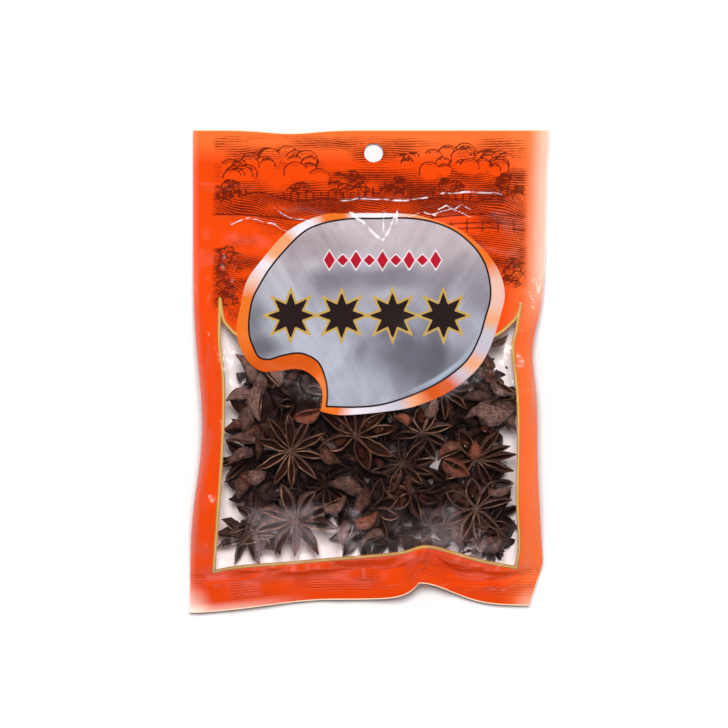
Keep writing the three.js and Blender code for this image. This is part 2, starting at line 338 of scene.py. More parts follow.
# Single carpels broken off their pods: x, y, length, half width, depth, direction, roll, grey
BOATS = [
    (-53.2, -11.2, 12.0, 2.6, 4.6, 183, 100, 1.0), (-45.0, -13.0, 15.0, 3.4, 5.6, 262, 70, 1.0),
    (-48.5, -20.5, 13.0, 3.2, 6.0, 248, 120, 0.5), (-52.5, -28.5, 12.5, 2.0, 3.6, 168, 60, 0.5),
    (-52.8, -35.5, 12.0, 2.2, 4.0, 196, 75, 0.4), (-50.5, -47.5, 13.0, 3.6, 6.0, 232, 140, -0.4),
    (-46.5, -43.0, 9.0, 3.4, 5.5, 30, 175, 0.8), (52.0, -14.8, 15.5, 4.2, 8.6, 344, 105, 1.0),
    (55.0, -6.5, 12.0, 3.0, 4.6, 322, 40, 0.7), (47.8, 1.5, 14.0, 3.0, 5.2, 98, 160, -0.3),
    (53.5, -48.6, 10.5, 2.0, 3.2, 4, 90, 0.6), (50.5, -69.5, 14.0, 4.2, 7.0, 12, 150, 0.3),
    (-40.5, -2.0, 12.0, 2.8, 5.0, 130, 60, 0.8), (24.5, -14.0, 11.0, 2.4, 4.0, 70, 80, 0.9),
    (33.0, -33.5, 12.0, 3.0, 4.8, 200, 50, -0.9), (-16.0, -34.0, 10.0, 2.6, 4.4, 320, 150, -0.6),
    (-25.4, -17.5, 12.0, 3.2, 4.4, 14, 25, -1.9), (13.4, -20.2, 7.5, 2.3, 3.2, 140, 70, -1.9),
    (42.0, -32.2, 8.0, 3.0, 4.5, 60, 120, -1.8), (35.5, -39.5, 13.0, 4.0, 5.4, 325, 12, -1.45),
    (-1.5, -60.0, 11.0, 3.0, 5.0, 20, 100, -1.6), (-10.5, -49.0, 15.0, 3.8, 6.0, 155, 115, 0.3),
    (-4.0, -52.5, 12.0, 3.2, 5.0, 70, 150, -0.3), (-14.5, -54.0, 11.0, 3.0, 4.6, 20, 60, 0.5),
    (-51.4, 1.0, 14.0, 3.0, 5.0, 114, 80, 0.9), (-47.2, -4.6, 12.0, 3.2, 5.0, 100, 120, 0.4),
    (17.5, -69.0, 13.0, 3.4, 4.6, 350, 110, 0.0), (27.5, -70.0, 13.0, 3.2, 4.4, 335, 70, 0.1),
    (38.5, -67.5, 13.0, 3.2, 4.4, 265, 90, 0.3), (-9.5, -67.0, 11.0, 2.6, 4.0, 250, 100, 0.9),
    (1.5, -69.0, 11.0, 3.0, 4.0, 200, 60, 0.4), (53.4, 12.6, 8.5, 1.4, 2.4, 20, 60, 0.6),
]
# How grey and pale the pods that lie on their sides or backs are, by their place in the list
GREY_PODS = {4: 1.0, 10: 0.9, 11: 1.0, 14: 0.6, 15: 1.0, 16: 0.9, 18: 0.7, 2: 0.4}
SHOWN_ABOVE = 12  # so many of the first pods make the upper piece
HIDDEN_PODS = 46
HIDDEN_CARPELS = 8
LOOSE_SEEDS = 14
SEAL_FLAKES, SIDE_FLAKES = 48, 10
FILM_PRESS = 1.1  # how far the pods push the film out of its slack form
SHOWN_GIVE = 0.06  # how far pods that show give way, where hidden ones do by 1
SINK = 0.04  # how far hidden pods sink in each round
HEAP_ENDS = (-76, 12)  # of the hidden pods, up the bag
SIDE_GAP = 5  # from the hidden pods to the folded sides
WALL = 0.75  # thickness of a carpel's hull


def carpel(length, tooth, width, depth, opening, bend, beak, stations, around, seed):
    """One boat-shaped carpel along +X with its split up: points, faces, rim, within and flat."""
    q = np.linspace(0, 1, stations) ** 1.08
    r = 0.6 + (length - 0.6) * q
    half = width * np.sqrt(1 - (1 - np.minimum(q / 0.42, 1)) ** 2 * 0.96)
    half = half * (1 - np.maximum((q - 0.42) / 0.58, 0) ** 1.9 * 0.93)
    half = np.minimum(half, r * tooth + 0.1)
    keel = depth * (0.72 + 0.28 * step(0, 0.35, q)) * (1 - np.maximum((q - 0.38) / 0.62, 0) ** 2.1 * 0.92)
    gap = opening * np.sin(math.pi * np.clip((q - 0.08) / 0.87, 0, 1)) ** 0.9 + 0.06
    gap = np.minimum(gap, np.maximum(half - 0.3, 0.05))
    lip = np.minimum(WALL, half * 0.5)
    outer = around // 2 + 1

    def profile(t, wide, edge, deep):
        share = np.abs(t)[None, :]
        bulge = wide[:, None] * np.sin(math.pi / 2 * np.minimum(share * 1.5, 1)) ** 0.85
        side = mix(bulge, edge[:, None], np.maximum((share - 0.6) / 0.4, 0) ** 1.6)
        return np.sign(t)[None, :] * side, -deep[:, None] * (1 - share**1.9)

    out_y, out_z = profile(np.linspace(-1, 1, outer), np.maximum(half, gap + lip), gap + lip, keel)
    hollow = np.maximum(keel - WALL, 0.2) * 0.85
    t_in = np.linspace(0.94, -0.94, around - outer - 2)
    in_y, in_z = profile(t_in, np.maximum(half - WALL, gap), gap, hollow)
    crest = (gap + lip * 0.5)[:, None]
    top = np.full((stations, 1), 0.3) * np.minimum(1, half / 1.2)[:, None]
    y = np.concatenate([out_y, crest, in_y, -crest], 1)
    z = np.concatenate([out_z, top, in_z - 0.1, top], 1)
    rim = np.zeros(around)
    rim[[0, outer - 1]] = 0.55
    rim[[outer, around - 1]] = 1
    rim[[outer + 1, around - 2]] = 0.75
    within = np.zeros(around)
    within[outer + 1 : around - 1] = 1
    along = np.broadcast_to(r[:, None], y.shape)
    turn = np.broadcast_to(np.linspace(0, 1, around)[None, :], y.shape)
    ring, fine = (
        np.stack([along / pitch, np.cos(turn * TAU) * reach, np.sin(turn * TAU) * reach], -1)
        for pitch, reach in ((2.6, 1.7), (1.1, 3.6))
    )
    wrinkle = 0.15 * noise(ring, seed) + 0.1 * noise(fine, seed + 5)
    wrinkle = wrinkle * np.minimum(1, half / 1.5)[:, None] * np.where(within[None, :] > 0, 0.4, 1)
    y = y * (1 + wrinkle)
    z = z * (1 + wrinkle) + (z > 0) * wrinkle
    y = y + (bend * (r / length) ** 2)[:, None] + 0.35 * flat_noise(r / 4, r * 0, seed + 9)[:, None]
    z = z + (beak * np.maximum(q - 0.7, 0) ** 1.5 * 6)[:, None]
    tip = (stations - 1) * around
    low = np.arange(around // 2 - 1)
    cap = np.stack([tip + low, tip + low + 1, tip + around - 2 - low, tip + around - 1 - low], -1)
    return (
        np.stack([along, y, z], -1).reshape(-1, 3),
        np.concatenate([quads(stations, around, closed=True), cap]),
        np.broadcast_to(rim, y.shape).ravel(),
        np.broadcast_to(within, y.shape).ravel(),
        np.stack([along.ravel() / 10, turn.ravel()], -1),
    )


def rings(across, height, sides):
    """Points of level rings, given the half width and the height of each."""
    spin = np.arange(sides) / sides * TAU
    x, y = across[:, None] * np.cos(spin), across[:, None] * np.sin(spin)
    return np.stack([x, y, np.broadcast_to(height[:, None], x.shape)], -1)


def lump(radii, centre, seed, rough, rows=7, sides=12):
    """A closed knobby ellipsoid: points and faces."""
    lat = np.linspace(-math.pi / 2, math.pi / 2, rows + 2)
    unit = rings(np.cos(lat), np.sin(lat), sides).reshape(-1, 3)
    swell = 1 + rough * noise(unit * 2.2, seed)
    return unit * swell[:, None] * np.array(radii) + np.array(centre), quads(rows + 2, sides, closed=True)


class Heap:
    """Gathers meshes that become one piece. A tint over 0 is greyer, under 0 redder, under -1 torn."""

    def __init__(self):
        self.parts, self.count = [], 0

    def add(self, points, faces, rim=0.0, within=0.0, flat=None, tint=0.0):
        fields = [np.broadcast_to(value, len(points)) for value in (rim, within, tint)]
        flat = points[:, :2] / 10 if flat is None else flat
        self.parts.append((points, faces + self.count, flat, *fields))
        self.count += len(points)

    def build(self, name, slot, material):
        points, faces, flat, rim, within, tint = map(np.concatenate, zip(*self.parts))
        # depth is painted shade: the deeper a point lies under the front film, the darker it is drawn
        under = front_at(points[:, 0], points[:, 1]) - points[:, 2]
        depth = np.clip((under - 2.8) / 7, 0, 1)
        fields = dict(rim=rim, within=within, tint=tint, depth=depth, flat=flat)
        return mesh_object(name, points, faces, slot, material, **fields)


def turned(points, angle):
    c, s = math.cos(angle), math.sin(angle)
    return points @ np.array([[c, s, 0], [-s, c, 0], [0, 0, 1]])


def tilt_matrix(tilt, towards):
    """Lowers the side that faces the direction towards, both in degrees."""
    t, a = math.radians(tilt), math.radians(towards)
    axis = np.array([-math.sin(a), math.cos(a), 0])
    k = np.array([[0, -axis[2], axis[1]], [axis[2], 0, -axis[0]], [-axis[1], axis[0], 0]])
    return np.eye(3) + math.sin(t) * k + (1 - math.cos(t)) * (k @ k)


def pod(radius, directions, opening, wide, stations, around, seed, stem):
    """One pod with its splits up and its hub at the origin, and the seeds in its open carpels."""
    local = np.random.default_rng(seed)
    parts, seeds = [], []
    tooth = math.tan(math.pi / max(8, len(directions))) * 1.05
    for k, direction in enumerate(directions):
        is_wide = k in wide
        heading = math.radians(direction)
        length = radius * local.uniform(0.86, 1.02)
        width = radius * (0.2 if is_wide else local.uniform(0.125, 0.16))
        split = 2.3 if is_wide else opening * local.uniform(0.6, 1.25)
        depth = radius * local.uniform(0.3, 0.38)
        points, *rest = carpel(
            length, tooth * (1.2 if is_wide else 1), width, depth, split,
            local.uniform(-1.3, 1.3), local.uniform(0.2, 1.6), stations, around, seed * 31 + k,
        )
        droop = tilt_matrix(local.uniform(-9, 5), 0)
        parts.append((turned(points @ droop.T, heading), *rest))
        if is_wide or (split > 1.4 and local.random() < 0.4):
            at = np.array([[length * local.uniform(0.42, 0.55), 0, -depth * 0.38]])
            seeds.append((turned(at @ droop.T, heading)[0], heading))
    hub, hub_faces = lump((1.7, 1.7, 2.0), (0, 0, -0.8), seed + 3, 0.35)
    parts.append((hub, hub_faces, 0.35, 0.25, hub[:, :2] / 10))
    if stem:
        steps = np.linspace(0, 1, 6)
        stalk = rings(1.0 + 0.25 * np.cos(steps * 5), -3.5 - 8.5 * steps, 10)
        stalk[..., 0] += 2.5 * steps[:, None] ** 2
        stalk = stalk.reshape(-1, 3)
        parts.append((stalk, quads(6, 10, closed=True)[:, [0, 3, 2, 1]], 0.3, 0.1, stalk[:, :2] / 10))
    return parts, seeds


def pod_spheres(radius, directions):
    """Spheres that stand for a pod while the heap settles."""
    centres, sizes = [(0, 0, -2.0)], [3.0]
    for direction in np.radians(directions):
        for share, size in ((0.45, 2.5), (0.8, 1.7)):
            across = (math.cos(direction) * radius * share, math.sin(direction) * radius * share)
            centres.append((*across, -size))
            sizes.append(size)
    return np.array(centres), np.array(sizes)


def settle(pods, rounds):
    """Pushes the pods apart and off the films as rigid bodies. Pods that show hardly move."""
    shapes = [pod_spheres(p["radius"], p["directions"]) for p in pods]
    owner = np.concatenate([np.full(len(s[1]), k) for k, s in enumerate(shapes)])
    local, sizes = (np.concatenate(part) for part in zip(*shapes))
    give = np.where([p["shown"] for p in pods], SHOWN_GIVE, 1.0)
    rotation = np.stack([p["rotation"] for p in pods])
    place = np.stack([p["place"] for p in pods])
    reach = sizes[:, None] + sizes[None, :]
    apart = owner[:, None] != owner[None, :]
    loose = give[owner]
    share = loose[:, None] / (loose[:, None] + loose[None, :])
    starts = np.searchsorted(owner, np.arange(len(pods)))
    counts = np.bincount(owner)
    middle = np.add.reduceat(local, starts) / counts[:, None]
    centred = local - middle[owner]
    free = loose > 0.5
    for _ in range(rounds):
        at = np.einsum("nij,nj->ni", rotation[owner], local) + place[owner]
        squared = (at**2).sum(1)
        distance = np.sqrt(np.maximum(squared[:, None] + squared[None, :] - 2 * at @ at.T, 1e-6))
        push = np.where(apart & (distance < reach), (reach - distance) / distance, 0)
        push = push * share * 0.5
        moved = at + at * push.sum(1)[:, None] - push @ at
        floor = back_at(moved[:, 0], moved[:, 1]) + sizes + 0.3
        roof = front_at(moved[:, 0], moved[:, 1]) - sizes + 0.6
        moved[:, 2] = np.where(free, np.minimum(np.maximum(moved[:, 2] - SINK, floor), roof), moved[:, 2])
        y, _ = station_of(moved[:, 0], moved[:, 1])
        sides = left_edge(y) + SIDE_GAP + sizes, right_edge(y) - SIDE_GAP - sizes
        moved[:, 0] = np.clip(moved[:, 0], *sides)
        moved[:, 1] = np.where(free, np.clip(moved[:, 1], *HEAP_ENDS), moved[:, 1])
        centre = np.add.reduceat(moved, starts) / counts[:, None]
        spread = moved - centre[owner]
        cross = np.add.reduceat(spread[:, :, None] * centred[:, None, :], starts)
        u, _, v = np.linalg.svd(cross)
        u[:, :, 2] *= np.sign(np.linalg.det(u @ v))[:, None]
        u, _, v = np.linalg.svd(mix(rotation, u @ v, give[:, None, None]))
        rotation = u @ v
        new_place = centre - np.einsum("nij,nj->ni", rotation, middle)
        place = mix(place, new_place, np.where(give > 0.5, 1.0, 0.3)[:, None])
    for p, r, c in zip(pods, rotation, place):
        p["rotation"], p["place"] = r, c


def plan_pods():
    """Where each pod lies, shown ones first."""
    pods = []
    for k, (x, y, radius, directions, tilt, towards, below, opening, wide) in enumerate(FRONT_PODS):
        beside = front_at(np.array([x + 4.0, x - 4.0, x, x]), np.array([y, y, y + 4.0, y - 4.0]))
        slope_x, slope_y = (beside[0] - beside[1]) / 8, (beside[2] - beside[3]) / 8
        lean = math.degrees(math.atan(math.hypot(slope_x, slope_y)))
        heading = math.degrees(math.atan2(-slope_y, -slope_x))
        rotation = tilt_matrix(lean * 0.8, heading) @ tilt_matrix(tilt, towards)
        spheres, sizes = pod_spheres(radius, directions)
        at = spheres @ rotation.T + np.array([x, y, 0])
        z = np.min(front_at(at[:, 0], at[:, 1]) - sizes * 0.5 - at[:, 2]) - below
        pods.append(dict(
            radius=radius, directions=directions, opening=opening, wide=wide, shown=True,
            rotation=rotation, place=np.array([x, y, z]), seed=100 + k, below=below,
            stem=60 < tilt < 200,
        ))
    for k in range(HIDDEN_PODS):
        radius = rng.uniform(12, 15.5)
        even = np.arange(HIDDEN_CARPELS) * 360 / HIDDEN_CARPELS
        directions = tuple(even + rng.uniform(-7, 7, HIDDEN_CARPELS) + rng.uniform(0, 45))
        flipped = 180 if rng.random() < 0.35 else 0
        rotation = tilt_matrix(flipped + rng.uniform(-35, 35), rng.uniform(0, 360))
        place = np.array([rng.uniform(-50, 52), rng.uniform(-68, 4), rng.uniform(6, 13)])
        pods.append(dict(
            radius=radius, directions=directions, opening=rng.uniform(0.3, 1.4), wide=(), shown=False,
            rotation=rotation, place=place, seed=300 + k, below=0, stem=rng.random() < 0.4,
        ))
    return pods


pods = plan_pods()
settle(pods, 110)

heaps = {"upper": Heap(), "front": Heap(), "under": Heap()}
seed_heap = Heap()
tint_rng = np.random.default_rng(5)


def add_seed(at, direction):
    points, faces = lump((2.5, 1.6, 1.1), (0, 0, 0), int(abs(at[0] * 7 + at[1])), 0.06, 9, 16)
    seed_heap.add(turned(points, direction) + at, faces)


for k, p in enumerate(pods):
    shown = p["shown"]
    stations, around = (20, 32) if shown else (12, 20)
    parts, seeds = pod(
        p["radius"], p["directions"], p["opening"], p["wide"], stations, around, p["seed"], p["stem"],
    )
    placed = [part[0] @ p["rotation"].T + p["place"] for part in parts]
    every = np.concatenate(placed)
    room = np.min(film_room(every))
    drop = room - p["below"] if shown else min(0, room)
    lift = max(0, np.max(back_at(every[:, 0], every[:, 1]) + 0.4 - every[:, 2] - drop))
    shift = np.array([0, 0, drop + min(lift, max(0, room - drop))])
    heap = heaps["upper" if k < SHOWN_ABOVE else "front" if shown else "under"]
    tint = GREY_PODS.get(k, tint_rng.uniform(-0.9, 0.5))
    for j, (part, points) in enumerate(zip(parts, placed)):
        hub = 0.9 if j == len(p["directions"]) else 0
        part_tint = tint + hub + tint_rng.uniform(-0.3, 0.3)
        heap.add(off_the_back(points + shift, 0.35), *part[1:], tint=part_tint)
    for at, direction in seeds:
        facing = p["rotation"] @ np.array([math.cos(direction), math.sin(direction), 0])
        add_seed(p["rotation"] @ at + p["place"] + shift, math.atan2(facing[1], facing[0]))

for k, (x, y, length, width, depth, direction, roll, grey) in enumerate(BOATS):
    points, *rest = carpel(length, 1.6, width, depth, 0.7, 0.6, 1.0, 24, 32, 700 + 13 * k)
    points[:, 0] -= length / 2
    points = turned(points @ tilt_matrix(roll, 90).T, math.radians(direction)) + np.array([x, y, 0.0])
    points[:, 2] += np.min(film_room(points))
    heaps["upper"].add(off_the_back(points, 0.35), *rest, tint=grey)

for _ in range(LOOSE_SEEDS):
    x, y = rng.uniform(-50, 52), rng.uniform(-72, 2)
    low, high = films_at(x, y)
    add_seed(np.array([x, y, mix(low + 2, high - 2, rng.uniform(0, 0.9))]), rng.uniform(0, TAU))

# Flakes and splinters that have sunk to the crimped seal, and a few beside the heap
for k in range(SEAL_FLAKES + SIDE_FLAKES):
    sunk = k < SEAL_FLAKES
    x = rng.uniform(14, 59) if sunk else rng.choice([-1, 1]) * rng.uniform(48, 60)
    y = rng.uniform(-3, 9) + (-76 + 0.12 * abs(x - 22) if sunk else rng.uniform(-60, 10))
    low, high = films_at(x, y)
    low += 0.5
    z = mix(low, high - 1.0, rng.uniform(0.2, 0.9)) if sunk else low
    long = rng.uniform(0.6, 1.9) if sunk else rng.uniform(0.4, 0.8)
    radii = (long, long * rng.uniform(0.35, 0.75), rng.uniform(0.18, 0.4))
    points, faces = lump(radii, (0, 0, 0), 900 + k, 0.7, 4, 8)
    points = points @ tilt_matrix(rng.uniform(0, 45), rng.uniform(0, 360)).T
    points = turned(points, rng.uniform(0, TAU)) + np.array([x, y, z])
    heaps["under"].add(off_the_back(points, 0.25), faces, rim=0.2, within=0.3, tint=rng.uniform(-1.0, 0.2))


# ---------------------------------------------------------------- front film
def film_grid(rows, columns):
    """Points of a film: across, station, share across, and where the station lies."""
    even = np.linspace(-1, 1, columns)
    y, u = np.meshgrid(rows, 0.6 * even + 0.4 * np.sin(math.pi / 2 * even), indexing="ij")
    x = mix(left_edge(y), right_edge(y), (u + 1) / 2)
    return x, y, u, placed_y(x, y)


def surface(x, y, z):
    return np.stack([x.ravel(), y.ravel(), z.ravel()], -1)


FILM_BEND = 9.0  # the tightest radius to which the film bends
CAP_CELLS = 12  # how far that bend reaches from a tip
CELL = 0.5  # of the height map of the pods
FRONT_COLUMNS = 251
ROW_PITCH = 0.69  # of the front film where it covers the pods
DRAPE_REACH = 7.0  # how far from a tip the film still lifts
POD_GAP = 0.25  # from the pods to the film over them


def heap_heights():
    """Height of the pods' upper side in cells of the resting plane."""
    columns, rows = int(2 * HALF_WIDTH / CELL) + 2, int(2 * HALF_LENGTH / CELL) + 2
    heights = np.zeros((rows, columns))
    for heap in heaps.values():
        for points, *_ in heap.parts:
            i = np.clip(((points[:, 1] + HALF_LENGTH) / CELL).astype(int), 0, rows - 1)
            j = np.clip(((points[:, 0] + HALF_WIDTH) / CELL).astype(int), 0, columns - 1)
            np.maximum.at(heights, (i, j), points[:, 2])
    # The film is too stiff to bend round a tip: it rests on it as a round cap
    for axis in (0, 1):
        grown = heights.copy()
        for k in range(-CAP_CELLS, CAP_CELLS + 1):
            grown = np.maximum(grown, np.roll(heights, k, axis) - (k * CELL) ** 2 / (2 * FILM_BEND))
        heights = grown
    return heights


def support_at(heights, x, y):
    """Height of the support over a point, between the middles of four cells."""
    row = np.clip((y + HALF_LENGTH) / CELL - 0.5, 0, heights.shape[0] - 1.001)
    column = np.clip((x + HALF_WIDTH) / CELL - 0.5, 0, heights.shape[1] - 1.001)
    i, j = row.astype(int), column.astype(int)
    lower = mix(heights[i, j], heights[i, j + 1], column - j)
    upper = mix(heights[i + 1, j], heights[i + 1, j + 1], column - j)
    return mix(lower, upper, row - i)


def drape(slack, support, rounds):
    """Film stretched over the support: it keeps its slack form away from what pushes it."""
    pull = ROW_PITCH**2 / (4 * DRAPE_REACH**2)
    need = support - slack
    lift = np.maximum(need, 0)
    for _ in range(rounds):
        around = (lift[1:-1, :-2] + lift[1:-1, 2:] + lift[:-2, 1:-1] + lift[2:, 1:-1]) / 4
        lift[1:-1, 1:-1] = np.maximum(around / (1 + pull), need[1:-1, 1:-1])
    return slack + lift


# Creases: points along the crease, height and half width
CREASES = [
    ([(-58, 61), (-50, 63.5), (-41, 61.5), (-33.5, 57.5)], 0.35, 0.7),
    ([(-12, 70.5), (0, 71.6), (14, 70.9), (24, 71.8)], 0.3, 0.7),
    ([(28, 67), (31.5, 69), (35, 67.4), (38, 69.2), (42, 67.5)], 0.6, 0.7),
    ([(16, 64), (22, 66.5), (27, 64.5)], 0.4, 0.7),
    ([(-39.2, 68.1), (-33.0, 63.5), (-24.7, 61.9)], 0.7, 0.75),
    ([(5.8, 66.5), (6.0, 55.5)], 0.45, 0.7),
    ([(11.4, 66.5), (11.0, 60.0)], 0.45, 0.7),
    ([(26, 65), (34, 67.5), (42.5, 63.5)], 0.6, 0.75),
    ([(40, 63), (50, 69), (60, 70)], 0.4, 0.8),
    ([(-70, 76.5), (-60, 75.5), (-48, 76)], 0.4, 0.9),
    ([(29, 73.7), (42, 74.4), (55, 73.5)], 0.5, 0.7),
    ([(-58.5, 46.5), (-56, 50), (-53, 47), (-50.5, 48.5)], 0.8, 0.8),
    ([(-67, -89), (-52, -86.2), (-37.5, -83.7)], 0.9, 1.2),
    ([(30, -90), (44, -88.6), (56, -89.5), (69, -88)], 1.1, 1.3),
    ([(61, -86.5), (50, -89.0), (40, -91.5)], 0.9, 1.1),
    ([(22, -84), (36, -86), (52, -85)], 0.7, 1.4),
    ([(20.2, -87.4), (21, -80), (23, -73)], 2.2, 2.0),
    ([(17.2, -84.6), (21.8, -80.6)], 0.9, 0.8),
    ([(10, -82), (14, -78.5), (16, -80)], 0.6, 1.0),
    ([(-71, 30), (-66, 10), (-67, -12)], 0.5, 1.6),
    ([(-68, -20), (-65.5, -34), (-67.5, -46)], 0.5, 1.4),
    ([(70, 62), (66, 40), (67, 18)], 0.45, 1.8),
    ([(-70, -40), (-66, -55), (-68, -72)], 0.5, 1.5),
    ([(69, -30), (66.5, -50), (69, -70)], 0.5, 1.5),
    ([(66, 8), (68, -6), (66, -18)], 0.5, 1.3),
    ([(-50, -3), (-56, -14), (-52, -24)], 0.4, 0.9),
    ([(-15, -68), (2, -64), (10, -70)], 0.5, 1.1),
    ([(-20, 50), (-34, 34), (-38, 12)], 0.35, 2.2),
    ([(22, 56), (36, 34), (33, 8)], 0.35, 2.4),
]
# Small sharp puckers that catch the light
PUCKERS = [
    (36.2, -10.6), (38.6, -12.6), (33.4, -18.9), (41.4, -20.9), (39.3, -25.4), (46.2, -22.6),
    (47.6, -25.1), (26.8, -32.4), (38.9, -44.4), (48.3, -40.3), (19.6, -29.9), (-27.5, -1.6),
    (-28.8, -48.2), (-38.5, -48.2),
]
# The film makes a flat facet under the header, where the label's top edge is
FACET = [(-8.6, 66.5), (5.6, 54.2), (11.8, 66.5)]
SHARP = 0.8  # creases less wide than this crack the print and take a painted highlight
FAR = 50.0  # stands for the distance where nothing is near


def crease_lift(x, y):
    """Height of the creases, and the distance to the sharp ones and to the facet's edge, which get pale
    lines: partly cracked print, partly painted highlight.
    """
    x, y = x + 0.5 * plan_noise(x, y, 2.6, 51), y + 0.5 * plan_noise(x, y, 2.6, 52)
    lift = np.zeros_like(x)
    cracked_and_glinting = np.full(x.shape, FAR)
    for points, height, width in CREASES:
        best = np.zeros_like(x)
        for (ax, ay), (bx, by) in zip(points, points[1:]):
            dx, dy = bx - ax, by - ay
            inside = np.clip(((x - ax) * dx + (y - ay) * dy) / (dx * dx + dy * dy), 0, 1)
            distance = np.hypot(x - ax - inside * dx, y - ay - inside * dy)
            best = np.maximum(best, height * np.exp(-np.abs(distance / width) ** 1.4))
            if width < SHARP:
                cracked_and_glinting = np.minimum(cracked_and_glinting, distance)
        lift += best
    for k, (cx, cy) in enumerate(PUCKERS):
        dx, dy = x - cx, y - cy
        lift += 0.42 * np.maximum(0, 1 - np.hypot(dx + 0.5 * dy * (-1) ** k, 0.8 * dy) / 1.5) ** 1.2
    facet = signed_distance(x, y, np.array(FACET))
    # The facet's edge gets a wider pale line, a painted highlight along the fold
    cracked_and_glinting = np.minimum(cracked_and_glinting, np.where(y < HEADER_Y, 0.55 * np.abs(facet), FAR))
    return lift + 0.16 * np.clip(-facet, 0, 3.4), cracked_and_glinting


RIB_PITCH = 1.12


def ribs(y):
    """Where up the film the crimped seal is ribbed."""
    return step(-96.5, -95.8, y) * (1 - step(-84.6, -83.4, y))


def rib_patches(x, y):
    """Patches of the seal where the ribs are pressed in deeply."""
    return step(-0.3, 0.3, flat_noise(x / 9, y / 6 + x / 40, 16))


# Where the film is crumpled: middle and spread across, middle and spread up, strength
CRUMPLED = [(44, 9, -17, 10, 0.35), (-28, 9, -6, 4, 0.3), (-58, 4, 48, 4, 0.5), (20, 12, -40, 8, 0.35)]


def film_wrinkles(x, y, u, placed):
    """Height of folds and crumpling over the film's slack form."""
    # Folds that run out of the seals
    below = bell(y, CRIMP_Y + 3, 13) * step(CRIMP_Y - 3, CRIMP_Y + 4, y)
    above = bell(y, HEADER_Y - 8, 15) * (1 - step(HEADER_Y - 2, HEADER_Y + 6, y))
    folds = 0.75 * flat_noise(x / 6.5, placed / 42, 3) + 0.3 * flat_noise(x / 2.8, placed / 26, 4)
    wide = 1.5 * flat_noise(x / 14, placed / 60, 5)
    lift = below * (folds + wide) + above * 0.45 * (folds + wide)
    # Crumpling over the whole film: ridges where noise changes sign
    soft = plan_noise(x, placed, 13, 7)
    ridged = 0.5 - np.abs(plan_noise(x + 3 * soft, placed - 2 * soft, 8.5, 8))
    fine = 0.5 - np.abs(plan_noise(x, placed + 2 * soft, 3.6, 9))
    calm = 1 - 0.75 * step(HEADER_Y - 4, HEADER_Y + 4, y)
    broad = flat_noise(x / 24 + 0.3 * soft, placed / 34, 31)
    streaks = flat_noise((x + 0.25 * placed) / 7.5, placed / 30, 32)
    taut = 1 - 0.7 * step(5, -15, placed) * step(-1, -0.8, -np.abs(u))
    rolling = (0.28 + 0.5 * bell(placed, -54, 16)) * soft + 1.1 * broad + 0.3 * streaks
    lift += calm * (taut * (0.42 * ridged + 0.1 * fine) + rolling)
    along_side, across_side = flat_noise(x / 3.2, placed / 9, 12), flat_noise(x / 7, placed / 5.5, 14)
    sides = bell(np.abs(u), 0.9, 0.12)
    lift += sides * (0.6 * along_side + 0.55 * across_side) * (1 - step(40, 70, y))
    crumpled = sum(
        strength * bell(x, across, wide) * bell(placed, up, long)
        for across, wide, up, long, strength in CRUMPLED
    )
    sharp = 0.5 - np.abs(plan_noise(x + soft, placed, 4.2, 61))
    lift += crumpled * (0.55 * sharp + 0.2 * plan_noise(x, placed, 1.9, 62))
    hem = 1 - step(CRIMP_Y - 5, CRIMP_Y, y)
    lift += hem * 0.35 * flat_noise(x / 9, placed * 0, 15)
    lift += 0.14 * (0.15 + 0.85 * rib_patches(x, y)) * ribs(y) * np.sin(TAU * y / RIB_PITCH)
    return lift * step(0, 0.05, 1 - np.abs(u))


def cut_hole(points, faces):
    """Faces outside the hang hole. Points on its edge are moved onto its circle."""
    offset = points[:, :2] - HANG_HOLE
    distance = np.hypot(offset[:, 0], offset[:, 1])
    kept = faces[(distance[faces] < HANG_HOLE_RADIUS).sum(1) < 3]
    edge = np.zeros(len(points), bool)
    edge[kept[(distance[kept] < HANG_HOLE_RADIUS).any(1)].ravel()] = True
    edge &= distance < HANG_HOLE_RADIUS + 0.2
    scale = np.where(edge, HANG_HOLE_RADIUS / np.maximum(distance, 0.01), 1)
    points[:, :2] = HANG_HOLE + offset * scale[:, None]
    return kept


# Rows lie closest where the seal is ribbed
front_rows = np.concatenate([
    np.arange(-HALF_LENGTH, -97, 0.5),
    np.arange(-97, -83.5, 0.25),
    np.arange(-83.5, 14, ROW_PITCH),
    np.linspace(14, HALF_LENGTH, 168),
])
fx, fy, fu, fplaced = film_grid(front_rows, FRONT_COLUMNS)
slack = front_height(fx, fy, fu)
slack += film_wrinkles(fx, fy, fu, fplaced) * (0.5 + 0.5 * step(HEADER_Y + 6, HEADER_Y - 10, fy))
support = support_at(heap_heights(), fx, fplaced) + POD_GAP
support = np.where(np.abs(fu) > 0.97, 0, support)
support = np.maximum(support, seam_height(fx, fy) + sealed_gap(fu))
fz = drape(slack, support, 420)
creased, crack_and_glint_mm = crease_lift(fx, fplaced)
fz += creased * step(0, 0.04, 1 - np.abs(fu))


# ---------------------------------------------------------------- fields of the print
STAR_POINTS, STAR_RADIUS, STAR_INSET = 8, 9.8, 0.5
STARS_X, STARS_Y = (-32.5, -11.5, 9.5, 30.5), 23.0
LOZENGES = 9
LOZENGE_PITCH, LOZENGE_HALF = 5.5, 2.3
LOW, TALL = 2.4, 3.9  # half heights of the lozenges, by turns
BAND_MIDDLE = (5.4, 46.0)


def star_field(x, y):
    """Distance, nearly, to the label's four stars, below 0 inside them."""
    half = math.pi / STAR_POINTS
    notch = STAR_RADIUS * STAR_INSET
    edge = np.array([notch * math.cos(half) - STAR_RADIUS, notch * math.sin(half)])
    normal = np.array([edge[1], -edge[0]]) / np.hypot(*edge)
    nearest = np.full(x.shape, FAR)
    for cx in STARS_X:
        r, a = np.hypot(x - cx, y - STARS_Y), np.arctan2(y - STARS_Y, x - cx)
        a = np.abs((a + half) % (2 * half) - half)
        nearest = np.minimum(nearest, (r * np.cos(a) - STAR_RADIUS) * normal[0] + r * np.sin(a) * normal[1])
    return nearest


